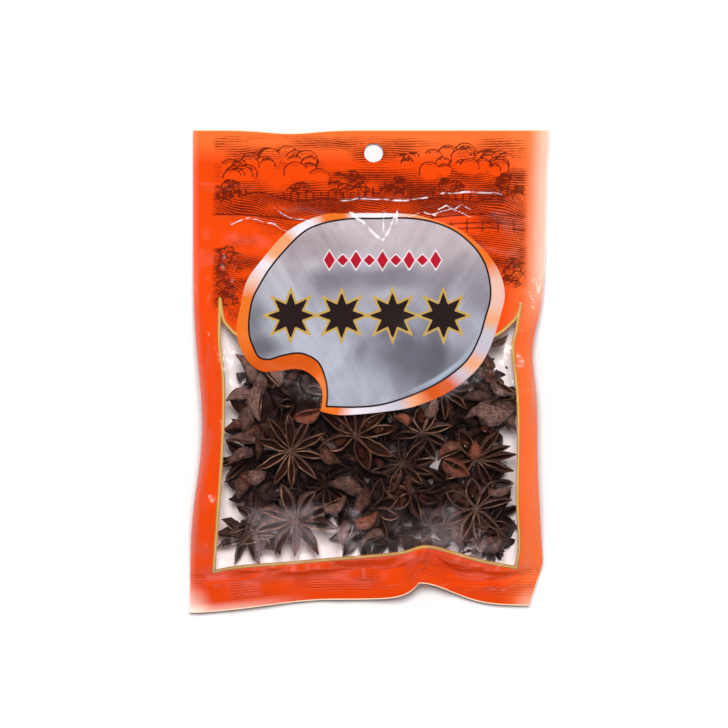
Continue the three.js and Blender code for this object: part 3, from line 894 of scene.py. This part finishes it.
def rule_field(x, y):
    """Distance to the label's red band of tall and low lozenges."""
    nearest = np.full(x.shape, FAR)
    for k in range(LOZENGES):
        height = LOW if k % 2 else TALL
        across = np.abs(x - BAND_MIDDLE[0] - LOZENGE_PITCH * (k - LOZENGES // 2))
        lozenge = across / LOZENGE_HALF + np.abs(y - BAND_MIDDLE[1]) / height - 1
        nearest = np.minimum(nearest, lozenge / math.hypot(1 / LOZENGE_HALF, 1 / height))
    return nearest


def clumps(x, y, circles):
    """Upper arcs of overlapping round clumps, later ones in front, and distance to them all."""
    line, outside = np.full(x.shape, FAR), np.full(x.shape, FAR)
    for cx, cy, r in circles:
        away = np.hypot(x - cx, (y - cy) * 1.12) - r
        lean = 0.5 * math.sin(7.0 * cx + 3.0 * cy)
        arc = np.where(y - cy > lean * (x - cx) - 0.1 * r, np.abs(away), FAR)
        upper = y - cy > 0.3 * r + (0.5 + lean) * np.abs(x - cx)
        second = np.where(upper, np.abs(-away - 0.28 * r) + 0.08, FAR)
        line = np.where(away < 0, np.minimum(arc, second), np.minimum(line, arc))
        outside = np.minimum(outside, away)
    return line, outside


art_rng = np.random.default_rng(77)


def clump_rows(middle, base, width, height, size, count):
    """Clumps that fill half an oval, from its top down."""
    circles = []
    for k in range(count):
        up = 1 - k / (count - 1)
        reach = width / 2 * math.sqrt(max(0.05, 1 - up * up * 0.9))
        x = middle + art_rng.uniform(-1, 1) * reach
        circles.append((x, base + up * height, size * art_rng.uniform(0.7, 1.25)))
    return circles


CLOUDS, CROWNS, BUSHES = (
    [circle for oval in ovals for circle in clump_rows(*oval)]
    for ovals in (
        ((-38, 80, 44, 10, 3.9, 26), (40, 83, 40, 8, 3.4, 22), (17, 86, 12, 3, 2.4, 7)),
        (
            (-9, 73, 17, 9, 1.7, 34), (11, 73, 12, 6.5, 1.5, 24), (-58, 70, 13, 8, 1.7, 24),
            (-29, 73, 9, 4.5, 1.4, 15), (33, 73, 14, 5.5, 1.5, 22), (57, 72, 12, 8.5, 1.7, 24),
        ),
        ((-60, 38, 16, 12, 2.1, 26), (-60, 26, 12, 12, 2.0, 24), (61, 36, 12, 9, 1.9, 18)),
    )
)


def art_fields(x, y):
    """Line drawing of a plain country view: distance to its lines, hatching phase and tone."""
    cloud_line, clouds = clumps(x, y, CLOUDS)
    crown_line, crowns = clumps(x, y, CROWNS)
    bush_line, bushes = clumps(x, y, BUSHES)
    cloud_line = np.where(y > 79.5 + 1.5 * plan_noise(x, y, 5, 23), cloud_line, FAR)
    ridge = 72 + 1.4 * np.sin(x / 9.0 + 0.8) + 0.8 * np.sin(x / 4.1)
    meadow = 63 + 2.0 * np.sin(x / 17.0 - 1.2)
    bank = 46 + 4 * np.sin(x / 13.0 + 2.0) - 0.1 * np.abs(x)
    lines = np.minimum(np.abs(y - ridge) * 0.9, np.abs(y - meadow) * 0.9)
    lines = np.minimum(lines, np.abs(y - bank) * 0.9 + 0.1)
    lines = np.where((crowns < 0) | (bushes < 0), FAR, lines)
    lines = np.minimum(lines, np.where(crowns < 0, FAR, cloud_line))
    lines = np.minimum(lines, np.minimum(crown_line, bush_line))
    trunks = np.maximum(np.abs((x / 3.1) % 1 - 0.5) * 3.1 - 0.1, np.abs(y - ridge - 1.2) - 1.6)
    lines = np.where(bell(crowns, 0, 3) > 0.4, np.minimum(lines, np.maximum(trunks, 0)), lines)
    posts = np.abs((x / 6.5 + 0.3) % 1 - 0.5) * 6.5
    fence = np.maximum(np.maximum(posts, np.abs(y - meadow + 4.5) - 2.6), 0)
    rails = np.minimum(np.abs(y - meadow + 3.4), np.abs(y - meadow + 5.6))
    lines = np.where(x > 8, np.minimum(lines, np.minimum(fence, rails)), lines)
    wobble = plan_noise(x, y, 9, 21)
    sky = y / 0.95 + 0.7 * wobble
    slope = (y - ridge) / 1.0 + x / 2.6 + wobble
    furrows = (y - meadow) / 0.9 + x / 9.0 + 0.5 * wobble
    banks = (y - bank) / 1.1 - np.abs(x) / 2.4 + 0.9 * wobble
    phase = np.where(y > ridge, sky, np.where(y > meadow, slope, np.where(y > bank, furrows, banks)))
    patches = flat_noise(x / 13, y / 4.5, 22)
    tone = 0.62 + 0.35 * patches
    for where, value in (
        (y > ridge, 0.24 + 0.5 * patches + 0.32 * bell(y, ridge, 7)),
        ((clouds < 0) & (y > 79), 0.2 * step(0.2, 0.6, patches)),
        (crowns < 0, 0.34 + 0.3 * patches),
        (y < meadow, 0.34 + 0.45 * patches),
        (y < bank, 0.28 + 0.42 * patches - 0.16 * step(40, 60, x) - 0.18 * step(38, 26, y)),
        (bushes < 0, 0.25 + 0.3 * patches),
    ):
        tone = np.where(where, value, tone)
    side = np.minimum(x + 65.5, 65.8 - x)
    faded = step(-0.5, 3, side) * step(15, 26, y) * (1 - step(94.5, 98.5, y))
    leafy = step(0.2, -0.6, crowns) + step(0.2, -0.6, bushes)
    leafy += step(0.0, 0.3, plan_noise(x, y, 8, 27)) * step(3, -3, y - bank) * step(62, 48, x)
    return dict(
        line_mm=lines, hatch_phase=phase, hatch_tone=np.clip(tone, 0, 0.8) * faded,
        foliage=np.clip(leafy, 0, 1) * faded, art_fade=faded,
    )


def painted_edge_glow(x, y, placed):
    """How much painted glow, a pale wash that stands in for bright light, lies towards the cut edge and the
    folded sides.
    """
    left_mm, right_mm, from_cut = x - left_edge(y), right_edge(y) - x, y + HALF_LENGTH
    return (
        0.6 * step(9, 0, right_mm) * step(15, 45, placed)
        + 0.5 * step(11, 2, np.hypot(left_mm, 0.8 * from_cut))
        + 0.45 * step(4.5, 0, from_cut) * step(-22, -60, x)
        + 0.3 * step(9, 0, np.hypot(right_mm, 0.9 * from_cut))
        + 0.12 * step(3, 0, left_mm)
    )


# ---------------------------------------------------------------- materials
def linear(colour):
    """Linear colour of a grey, or of an sRGB colour given in 0..255."""
    if not isinstance(colour, tuple):
        return (colour, colour, colour, 1)
    shares = [v / 255 for v in colour]
    return (*(v / 12.92 if v <= 0.04045 else ((v + 0.055) / 1.055) ** 2.4 for v in shares), 1)


def operator(operation, swapped=False):
    """A method that makes the Math node of an operation."""
    def apply(self, other=0.0):
        return self.nodes.math(operation, *((other, self) if swapped else (self, other)))

    return apply


class Value:
    """An output of a shader node. Arithmetic with it makes Math nodes."""

    def __init__(self, nodes, socket):
        self.nodes, self.socket = nodes, socket

    __add__ = __radd__ = operator("ADD")
    __mul__ = __rmul__ = operator("MULTIPLY")
    __sub__, __rsub__ = operator("SUBTRACT"), operator("SUBTRACT", swapped=True)
    __truediv__, __pow__ = operator("DIVIDE"), operator("POWER")
    __abs__, fract, most = operator("ABSOLUTE"), operator("FRACT"), operator("MAXIMUM")

    def clamped(self):
        self.socket.node.use_clamp = True
        return self


class Nodes:
    """Short names for the shader nodes of one material or world. Colours are sRGB in 0..255."""

    def __init__(self, name, owners=bpy.data.materials, kind="Material"):
        self.owner = owners.new(name)
        self.owner.use_nodes = True
        self.tree = self.owner.node_tree
        self.tree.nodes.clear()
        self.output = self.tree.nodes.new("ShaderNodeOutput" + kind)

    def put(self, socket, value):
        if isinstance(value, Value):
            self.tree.links.new(value.socket, socket)
        else:
            socket.default_value = value

    def node(self, kind, inputs=(), out=0, **settings):
        """An output of a new node. Inputs go by name or place."""
        node = self.tree.nodes.new("ShaderNode" + kind)
        for key, value in settings.items():
            setattr(node, key, value)
        for key, value in dict(inputs).items():
            self.put(node.inputs[key], value)
        return Value(self, node.outputs[out])

    def finish(self, shader):
        self.put(self.output.inputs[0], shader)
        return self.owner

    def math(self, operation, a, b=0.0):
        return self.node("Math", {0: a, 1: b}, operation=operation)

    def attribute(self, name):
        return self.node("Attribute", out="Fac", attribute_name=name)

    def mapped(self, vector, scale=(1, 1, 1), turn=0.0):
        return self.node("Mapping", {"Vector": vector, "Rotation": (0, 0, turn), "Scale": scale})

    def flat(self, scale=(1, 1, 1), turn=0.0):
        return self.mapped(self.node("UVMap", uv_map="flat"), scale, turn)

    def position(self):
        return self.node("TexCoord", out="Object")

    def noise(self, vector, scale, detail=3.0, roughness=0.55, distortion=0.0):
        return self.node("TexNoise", dict(
            Vector=vector, Scale=scale, Detail=detail, Roughness=roughness, Distortion=distortion,
        ))

    def ramp(self, factor, stops, smooth=False):
        value = self.node("ValToRGB", {0: factor})
        ramp = value.socket.node.color_ramp
        ramp.interpolation = "EASE" if smooth else "LINEAR"
        while len(ramp.elements) < len(stops):
            ramp.elements.new(0.5)
        for element, (place, colour) in zip(ramp.elements, stops):
            element.position = place
            element.color = linear(colour)
        return value

    def blend(self, factor, a, b):
        a, b = (colour if isinstance(colour, Value) else linear(colour) for colour in (a, b))
        return self.node("Mix", {0: factor, 6: a, 7: b}, 2, data_type="RGBA", clamp_factor=True)

    def layered(self, colour, *layers):
        """The colour under layers, each of which is a mask and a colour."""
        for mask, over in layers:
            colour = self.blend(mask, colour, over)
        return colour

    def patch(self, across, up, middle, reach, uneven):
        """1 in a soft oval patch, 0 outside it; its edge is pushed about where uneven leaves 0.5."""
        x = (across - middle[0]) / reach[0]
        y = (up - middle[1]) / reach[1]
        return self.below((x * x + y * y) ** 0.5 + (uneven * 1.8 - 0.9), 0.75, 0.6)

    def below(self, value, edge, soft):
        """1 where value is under the edge, 0 over it, over a soft width."""
        span = {"From Min": edge - soft, "From Max": edge + soft, "To Min": 1, "To Max": 0}
        return self.node("MapRange", {"Value": value, **span}, interpolation_type="SMOOTHSTEP")

    def bump(self, height, strength, distance, normal=None):
        under = {} if normal is None else {"Normal": normal}
        return self.node("Bump", {"Strength": strength, "Distance": distance, "Height": height, **under})

    def principled(self, **values):
        return self.node("BsdfPrincipled", {key.replace("_", " "): v for key, v in values.items()})


ORANGE = (214, 65, 9)
GOLD = (192, 152, 90)
FILM_GLOSS = 0.05  # share of light that the level film reflects
# Soft light and dark patches of the silver, painted reflections, in half lengths of the film: middle, reach,
# strength, colour
SILVER_REFLECTIONS = [
    ((0.2, 0.05), (0.19, 0.1), 0.9, (82, 82, 91)),
    ((-0.43, 0.09), (0.13, 0.07), 0.75, (86, 86, 93)),
    ((-0.48, 0.2), (0.09, 0.17), 0.75, (92, 91, 101)),
    ((-0.2, 0.52), (0.2, 0.08), 0.55, (160, 144, 152)),
    ((0.0, 0.39), (0.3, 0.06), 0.75, (120, 115, 129)),
    ((0.13, 0.1), (0.15, 0.17), 0.55, (116, 116, 129)),
    ((0.42, 0.34), (0.1, 0.12), 0.45, (150, 144, 158)),
    ((-0.17, 0.2), (0.14, 0.1), 0.5, (204, 210, 224)),
    ((-0.05, -0.06), (0.16, 0.12), 0.4, (190, 197, 210)),
]
WHITE, DULL, PALE = (210, 204, 211), (172, 166, 176), (204, 166, 152)
PEACH, GLOW, DEEP = (210, 142, 98), (206, 102, 32), (184, 74, 16)
# Colour of the ring by the direction from the label's middle, once round from the left: its orange runs are
# print; its white, dull and pale runs are partly print, partly painted highlights
RING = [
    (0.0, GLOW), (0.03, GLOW), (0.07, DEEP), (0.12, DEEP), (0.155, GLOW), (0.2, GLOW),
    (0.225, WHITE), (0.3, DULL), (0.325, PEACH), (0.35, DEEP), (0.385, DEEP), (0.405, DULL),
    (0.428, PEACH), (0.45, DULL), (0.475, DULL), (0.49, PEACH), (0.51, PALE), (0.54, PALE),
    (0.565, GLOW), (0.64, GLOW), (0.685, PEACH), (0.715, WHITE), (0.775, WHITE), (0.79, GLOW),
    (0.82, GLOW), (0.842, WHITE), (0.866, WHITE), (0.882, PEACH), (0.912, PEACH), (0.93, WHITE),
    (0.958, PALE), (0.98, GLOW),
]


def silver_field(n, across, up, field):
    """Colour of the label's silver. Its swirl is partly painted sheen; the lighter top, the light and dark
    patches and the pale blue rim inside the outline are painted reflections.
    """
    swirl = n.noise(n.flat((1.0, 0.8, 1)), 3.4, 1.6, 0.5, 0.9)
    silver = n.ramp(swirl, [(0.34, (138, 135, 147)), (0.47, (168, 168, 181)), (0.6, (192, 195, 208))], True)
    # Painted reflection: lighter and pinker towards the top
    silver = n.layered(silver, ((1 - n.below(up, 0.42, 0.22)) * 0.75, (222, 203, 206)))
    for middle, reach, strength, tint in SILVER_REFLECTIONS:
        silver = n.layered(silver, (n.patch(across, up, middle, reach, swirl) * strength, tint))
    leftward = n.below(swirl * 1.2 + across, 0.62, 0.2)
    for angle, share in ((-0.5, leftward), (0.62, 1 - leftward)):
        brushed = n.noise(n.mapped(n.flat(turn=angle), (7, 0.6, 1)), 4, 3, 0.6)
        silver = n.layered(silver, (n.below(brushed, 0.5, 0.14) * (share * 0.17), (110, 106, 116)))
    # Painted highlight: a pale blue rim inside the outline at the lower right
    painted_rim_highlight = n.below(abs(field + 1.7), 0.8, 0.7) * n.patch(across, up, (0.36, -0.04), (0.22, 0.14), 0.5)
    return n.layered(silver, (painted_rim_highlight * 0.75, (188, 202, 220)))


def front_print(n):
    """Colour, silver share and cover of the printed front."""
    flat = n.flat()
    across, up = (n.node("SeparateXYZ", {0: flat}, axis) for axis in "XY")
    # The orange darkens towards the bottom seal and lightens at the top edge: partly print, partly painted
    # light and shade
    ground = [(0.02, (196, 59, 13)), (0.1, ORANGE), (0.93, ORANGE), (0.98, (232, 106, 48))]
    paper_and_painted_light = n.ramp(up * 0.5 + 0.5, ground)
    # Line drawing
    tone = n.attribute("hatch_tone")
    phase = n.noise(n.flat((1, 3, 1)), 60, 2) * 0.5 + n.attribute("hatch_phase")
    breaks = n.noise(n.flat((1, 2.5, 1)), 28, 3) * 0.9 - 0.42
    hatch = n.below(abs(phase.fract() - 0.5) - (breaks * 0.3 + tone * 0.5), 0.0, 0.08)
    hatch = hatch * (1 - n.below(tone, 0.05, 0.04))
    outline = n.below(n.attribute("line_mm"), 0.3, 0.12) * n.attribute("art_fade")
    cells = (n.node("TexVoronoi", {"Vector": flat, "Scale": 62}) * 3.1).fract()
    leaves = n.below(abs(cells - 0.5), 0.2, 0.08) * (n.attribute("foliage") * 0.8)
    # Ribs of the crimped seal, with painted shade in their grooves
    station = n.attribute("station")
    painted_groove_shade = n.below(abs((station / RIB_PITCH).fract() - 0.5), 0.2, 0.12) * n.attribute("ribbed")
    # Painted glow: the print turns pale at the folded sides and towards the cut edge
    painted_glow = n.below(n.attribute("side_mm"), 0.1, 0.3) + n.attribute("painted_glow")
    # Gold line along the window
    window = n.attribute("window_mm")
    gold = n.below(abs(window), 0.72, 0.12)
    gilding = n.blend(n.below(abs(window), 0.36, 0.2), (150, 108, 52), GOLD)
    # The label and its ring
    ring = n.ramp(n.math("ARCTAN2", up - 0.24, across) / TAU + 0.5, RING)
    on_label = n.below(n.attribute("label_mm"), 0.0, 0.1)
    field = n.attribute("field_mm")
    on_field = n.below(field, 0.0, 0.1)
    black = n.below(abs(field), 0.38, 0.08)
    star, rule = n.attribute("ornament_mm"), n.attribute("rule_mm")
    gilt = n.below(star, 0.9, 0.12)
    # Pale lines along sharp creases, partly cracked print and partly painted highlight, and a bare pale line
    # along both cut edges
    flaking = n.ramp(n.noise(flat, 30, 3), [(0.36, 0.0), (0.5, 1.0)])
    crack_and_glint = n.below(n.attribute("crack_and_glint_mm"), 0.2, 0.2) * flaking
    cut = 1 - n.below(abs(station), HALF_LENGTH - 0.35, 0.15)
    colour = n.layered(
        paper_and_painted_light,
        (n.noise(flat, 7, 2) * 0.25, (190, 48, 8)),
        # Painted glare: the right margin is drawn lighter
        ((1 - n.below(across, 0.6, 0.08)) * 0.55, (234, 122, 66)),
        (tone * 0.42, (150, 36, 8)),
        (hatch.most(outline).most(leaves) * 0.86, (66, 14, 8)),
        (painted_groove_shade * 0.4, (120, 26, 6)),
        # painted glow at the edges
        (painted_glow * 0.8, (255, 234, 220)),
        (gold, gilding),
        (on_label, ring),
        (on_field, silver_field(n, across, up, field)),
        (black, (30, 20, 22)),
        (gilt, (170, 140, 78)),
        (n.below(star, 0.0, 0.12), (34, 24, 24)),
        (n.below(rule, 0.5, 0.1), (235, 228, 232)),
        (n.below(rule, 0.0, 0.1), (190, 24, 48)),
        # pale crease lines: partly cracked print, partly painted highlight
        (crack_and_glint * 0.85, (250, 246, 248)),
        (cut, (245, 214, 180)),
    )
    metal = on_field * (1 - black.most(gilt).most(crack_and_glint))
    return colour, metal, on_label.most(gold).most(1 - n.below(window, 0.0, 0.05))


def film_material(name):
    """Printed film, clear where the window leaves it bare."""
    n = Nodes(name)
    colour, metal, opaque = front_print(n)
    broad = n.noise(n.flat(), 14, 2, 0.5, 0.4)
    combed = n.noise(n.flat((1, 0.06, 1)), 95, 2, 0.6) * n.attribute("combed")
    relief = n.bump(combed, 0.5, 0.0006, n.bump(broad, 0.1, 0.001))
    ink = n.principled(
        Base_Color=colour, Roughness=metal * 0.2 + (broad * 0.1 + 0.13), Metallic=metal * 0.4,
        Normal=n.bump(n.noise(n.flat(), 120, 3, 0.6), 0.01, 0.0002, relief), Specular_IOR_Level=0.3,
    )
    gloss = n.node("BsdfGlossy", dict(Color=(1.0, 0.9, 0.93, 1), Roughness=0.16, Normal=relief))
    # Both sides of the thin film reflect alike, more so at a slant
    slant = n.node("LayerWeight", dict(Blend=0.5, Normal=relief), out="Facing")
    share = (slant**5 * 0.9 + FILM_GLOSS).clamped()
    bare = n.node("MixShader", {0: share, 1: n.node("BsdfTransparent"), 2: gloss})
    return n.finish(n.node("MixShader", {0: opaque, 1: bare, 2: ink}))


def back_material():
    n = Nodes("film_back")
    flat = n.flat()
    panel = n.attribute("panel_mm")
    colour = n.blend(n.noise(flat, 7, 2) * 0.3, ORANGE, (190, 48, 8))
    colour = n.layered(colour, (n.below(panel, 0.7, 0.1), GOLD), (n.below(panel, 0.0, 0.1), (236, 230, 226)))
    broad = n.noise(flat, 14, 3, 0.6, 0.4)
    relief = n.bump(broad, 0.25, 0.0012)
    return n.finish(n.principled(Base_Color=colour, Roughness=broad * 0.15 + 0.22, Normal=relief))


def liner_material():
    """Pale lining behind the window. It glows faintly: painted light that stands in for light let through
    the thin back film.
    """
    n = Nodes("film_liner")
    broad = n.noise(n.flat(), 12, 3)
    return n.finish(n.principled(
        Base_Color=n.blend(broad, (236, 222, 220), (243, 231, 227)), Roughness=broad * 0.2 + 0.35,
        Normal=n.bump(broad, 0.3, 0.001), Emission_Color=(1.0, 0.88, 0.86, 1), Emission_Strength=0.05,
    ))


def pod_material(name):
    n = Nodes(name)
    place = n.position()
    grain = n.noise(n.flat((3.0, 9.0, 1)), 3.2, 4, 0.65, 0.6)
    spots = n.noise(place, 430, 4, 0.68)
    browns = [(0.34, (24, 11, 8)), (0.47, (57, 31, 23)), (0.58, (105, 66, 52)), (0.72, (160, 116, 97))]
    body = n.ramp(spots, browns)
    tint = n.attribute("tint")
    streaks = n.ramp(n.noise(n.flat((2.2, 14.0, 1)), 4.0, 4, 0.7, 0.8), [(0.42, 0.1), (0.58, 1.0)])
    body = n.layered(
        body,
        (n.below(grain, 0.5, 0.08) * 0.6, (22, 12, 11)),
        (tint.most(0.0) * (streaks * 0.7), (146, 111, 103)),
        ((tint * -1.0).most(0.0) * (streaks * 0.6), (118, 64, 44)),
    )
    # Inner walls: their own red-brown, darkened with painted shade of the narrow split
    inner = n.ramp(grain, [(0.3, (22, 9, 6)), (0.7, (76, 35, 19))])
    edges = [(0.35, (74, 46, 34)), (0.5, (124, 84, 62)), (0.66, (176, 134, 106))]
    rim = n.ramp(n.noise(place, 120, 2), edges)
    colour = n.blend(n.attribute("within"), body, inner)
    colour = n.blend(n.below(n.attribute("rim"), 0.86, 0.1), rim, colour)
    # Torn and rubbed parts show the rusty flesh; what lies deep in the heap gets painted shade
    worn = n.ramp(n.noise(place, 300, 5, 0.7), [(0.44, 0.0), (0.6, 0.8)])
    colour = n.layered(
        colour,
        ((tint * -1.0 - 1.0).clamped() * worn, (150, 78, 48)),
        (n.attribute("depth") * 0.8, (14, 8, 7)),
    )
    relief = n.bump(n.noise(place, 900, 2), 0.35, 0.0003, n.bump(grain, 0.9, 0.0007))
    return n.finish(n.principled(Base_Color=colour, Roughness=spots * 0.25 + 0.42, Normal=relief))


def seed_material():
    n = Nodes("seed")
    cloudy = n.noise(n.position(), 160, 3)
    colour = n.ramp(cloudy, [(0.3, (26, 11, 7)), (0.7, (66, 30, 17))])
    relief = n.bump(n.noise(n.position(), 500, 2), 0.15, 0.0003)
    return n.finish(n.principled(Base_Color=colour, Roughness=cloudy * 0.1 + 0.14, Normal=relief))


# ---------------------------------------------------------------- pieces
UV_UNIT = 100  # of the film's flat UV place, which makes 1 about its half length
front_points = surface(fx, fplaced, fz)
front_faces = cut_hole(front_points, quads(len(front_rows), FRONT_COLUMNS))
front_fields = dict(
    window_mm=signed_distance(fx, fplaced, rounded(WINDOW)),
    label_mm=signed_distance(fx, fplaced, rounded(LABEL)),
    field_mm=signed_distance(fx, fplaced, rounded(LABEL_FIELD)),
    ornament_mm=star_field(fx, fplaced), rule_mm=rule_field(fx, fplaced), **art_fields(fx, fplaced),
    station=fy, side_mm=np.minimum(fx - left_edge(fy), right_edge(fy) - fx),
    painted_glow=painted_edge_glow(fx, fy, fplaced), crack_and_glint_mm=crack_and_glint_mm, ribbed=rib_patches(fx, fy) * ribs(fy),
    combed=bell(fx, 29, 17) * bell(fplaced, -66, 9),
)
front_fields = {key: values.ravel() for key, values in front_fields.items()}
# The clear piece ends inside the window, clear of its gold line and of the label
is_clear = (front_fields["window_mm"] < -1.2) & (front_fields["label_mm"] > 0.5)
clear_face = is_clear[front_faces].all(1)


def film_piece(name, faces, slot):
    """A part of the front film, with only the points that its faces use."""
    used, index = np.unique(faces, return_inverse=True)
    fields = {key: values[used] for key, values in front_fields.items()}
    points = front_points[used]
    fields["flat"] = points[:, :2] / UV_UNIT
    return mesh_object(name, points, index.reshape(faces.shape), slot, film_material(slot), **fields)


def plain_piece(name, points, faces, material, **fields):
    """A part of the back."""
    flat = points[:, :2] / UV_UNIT
    return mesh_object(name, points, faces, "printed_film", material, flat=flat, **fields)


film_front = film_piece("film_front", front_faces[~clear_face], "printed_film")
film_window = film_piece("film_window", front_faces[clear_face], "clear_film")

BACK_COLUMNS = 121
back_rows = np.concatenate([np.arange(-HALF_LENGTH, -86, 0.5), np.linspace(-86, HALF_LENGTH, 150)])
bx, by, bu, bplaced = film_grid(back_rows, BACK_COLUMNS)
bz = back_height(bx, by, bu)
bz = np.maximum(0.1, bz + 0.35 * film_wrinkles(bx, by, bu, bplaced) * step(0.3, 2.0, bz))
bz = np.minimum(bz, seam_height(bx, by) - sealed_gap(bu))
panel_mm = np.minimum(*(
    np.maximum(np.abs(bx - middle) - half, np.abs(bplaced + 4) - 52)
    for middle, half in ((-34, 24), (36, 22))
))
back_points = surface(bx, bplaced, bz)
back_faces = cut_hole(back_points, quads(len(back_rows), BACK_COLUMNS)[:, ::-1])
back_look = back_material()
film_back = plain_piece("film_back", back_points, back_faces, back_look, panel_mm=panel_mm.ravel())

# The tube's own seam: a strip along the back, folded flat
FIN_FROM, FIN_WIDTH, FIN_WAVE = -1.5, 9.5, 1.1
fin_rows = np.linspace(-HALF_LENGTH + 0.4, HALF_LENGTH - 0.4, 260)
fin_y, fin_across = np.meshgrid(fin_rows, np.linspace(0, 1, 13), indexing="ij")
fin_x = FIN_FROM + FIN_WIDTH * fin_across + 0.35 * plan_noise(fin_across * 0, fin_y, 18, 41)
fin_placed = placed_y(fin_x, fin_y)
over = back_at(fin_x, fin_placed)
fin_z = np.maximum(0.03, over - 0.07 - 0.12 * fin_across * step(0.4, 2, over))
fin_z = fin_z - 0.012 * np.sin(TAU * fin_x / FIN_WAVE) * step(0.3, 0.4, fin_z)
fin_points = surface(fin_x, fin_placed, fin_z)
fin_faces = cut_hole(fin_points, quads(*fin_x.shape)[:, ::-1])
fin = plain_piece("film_fin", fin_points, fin_faces, back_look, panel_mm=np.full(fin_x.size, FAR))

LINER_GAP = 0.14  # over the back film
lined = np.flatnonzero((back_rows > -85) & (back_rows < HEADER_Y - 14))
lx, ly, lz = (part[lined[0] : lined[-1] + 1, 2:-2] for part in (bx, bplaced, bz + LINER_GAP))
liner = plain_piece("film_liner", surface(lx, ly, lz), quads(*lx.shape), liner_material())

anise = pod_material("star_anise")
pieces = [film_front, film_window, film_back, fin, liner]
pieces += [heap.build(f"star_anise_{name}", "star_anise", anise) for name, heap in heaps.items()]
pieces.append(seed_heap.build("seeds", "seed", seed_material()))
for piece in pieces:
    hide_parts("bag")


# ---------------------------------------------------------------- studio
def stage_floor():
    n = Nodes("floor")
    colour = n.blend(n.noise(n.position(), 0.5, 1), 0.72, 0.735)
    bpy.ops.mesh.primitive_plane_add(size=12, location=(0, 0, -0.00005))
    floor = bpy.context.object
    floor.name = "floor"
    floor.data.materials.append(n.finish(n.principled(Base_Color=colour, Roughness=0.9)))


def sky():
    """White surroundings, with a darker part overhead so that the level film stays clear."""
    n = Nodes("studio", bpy.data.worlds, "World")
    up = n.node("SeparateXYZ", {0: n.node("TexCoord", out="Generated")}, "Z")
    grey = n.ramp(up, [(0.0, 0.95), (0.2, 0.65), (0.45, 0.16), (0.75, 0.03)])
    bpy.context.scene.world = n.finish(n.node("Background", {"Color": grey, "Strength": 0.95}))


def area_light(name, place, watts, width, height, colour=(1, 1, 1)):
    """A lamp that faces the bag."""
    data = bpy.data.lights.new(name, "AREA")
    data.shape = "RECTANGLE"
    data.size, data.size_y = width, height
    data.energy = watts
    data.color = colour
    # Sampled from the surface alone, or the film's faint reflection of it comes out speckled
    data.cycles.use_multiple_importance_sampling = False
    lamp = bpy.data.objects.new(name, data)
    bpy.context.scene.collection.objects.link(lamp)
    lamp.location = place
    lamp.rotation_euler = (-Vector(place)).to_track_quat("-Z", "Y").to_euler()
    return lamp


HAZE_TINT = (1.0, 0.88, 0.9)  # of what the clear film reflects
stage_floor()
sky()
area_light("lamp_left", (-1.3, 0.9, 1.6), 3.2, 0.12, 0.12)
area_light("lamp_right", (1.4, 0.7, 1.3), 3.2, 0.12, 0.12)
area_light("strip_back", (0.1, 0.85, 2.2), 2.2, 1.1, 0.22)
area_light("softbox_high", (-0.2, -0.93, 2.1), 1.0, 0.5, 0.48, HAZE_TINT)
area_light("softbox_front", (-0.2, -1.45, 1.79), 3.8, 0.5, 0.72, HAZE_TINT)
area_light("softbox_low", (-0.2, -2.1, 0.9), 7.2, 0.55, 1.1, HAZE_TINT)
area_light("lamp_overhead", (0, 0.7, 2.55), 83, 0.9, 0.9).visible_glossy = False

# The camera looks straight down on the bag's front
CAMERA_HEIGHT = 2.4
FIELD_WIDTH = 0.3021
SENSOR_WIDTH = 36
camera_data = bpy.data.cameras.new("camera")
camera_data.sensor_width = SENSOR_WIDTH
camera_data.lens = SENSOR_WIDTH * CAMERA_HEIGHT / FIELD_WIDTH
camera = bpy.data.objects.new("camera", camera_data)
camera.location = (-0.00228, 0.00301, CAMERA_HEIGHT)
bpy.context.scene.collection.objects.link(camera)
bpy.context.scene.camera = camera
bpy.context.scene.view_settings.view_transform = "Standard"
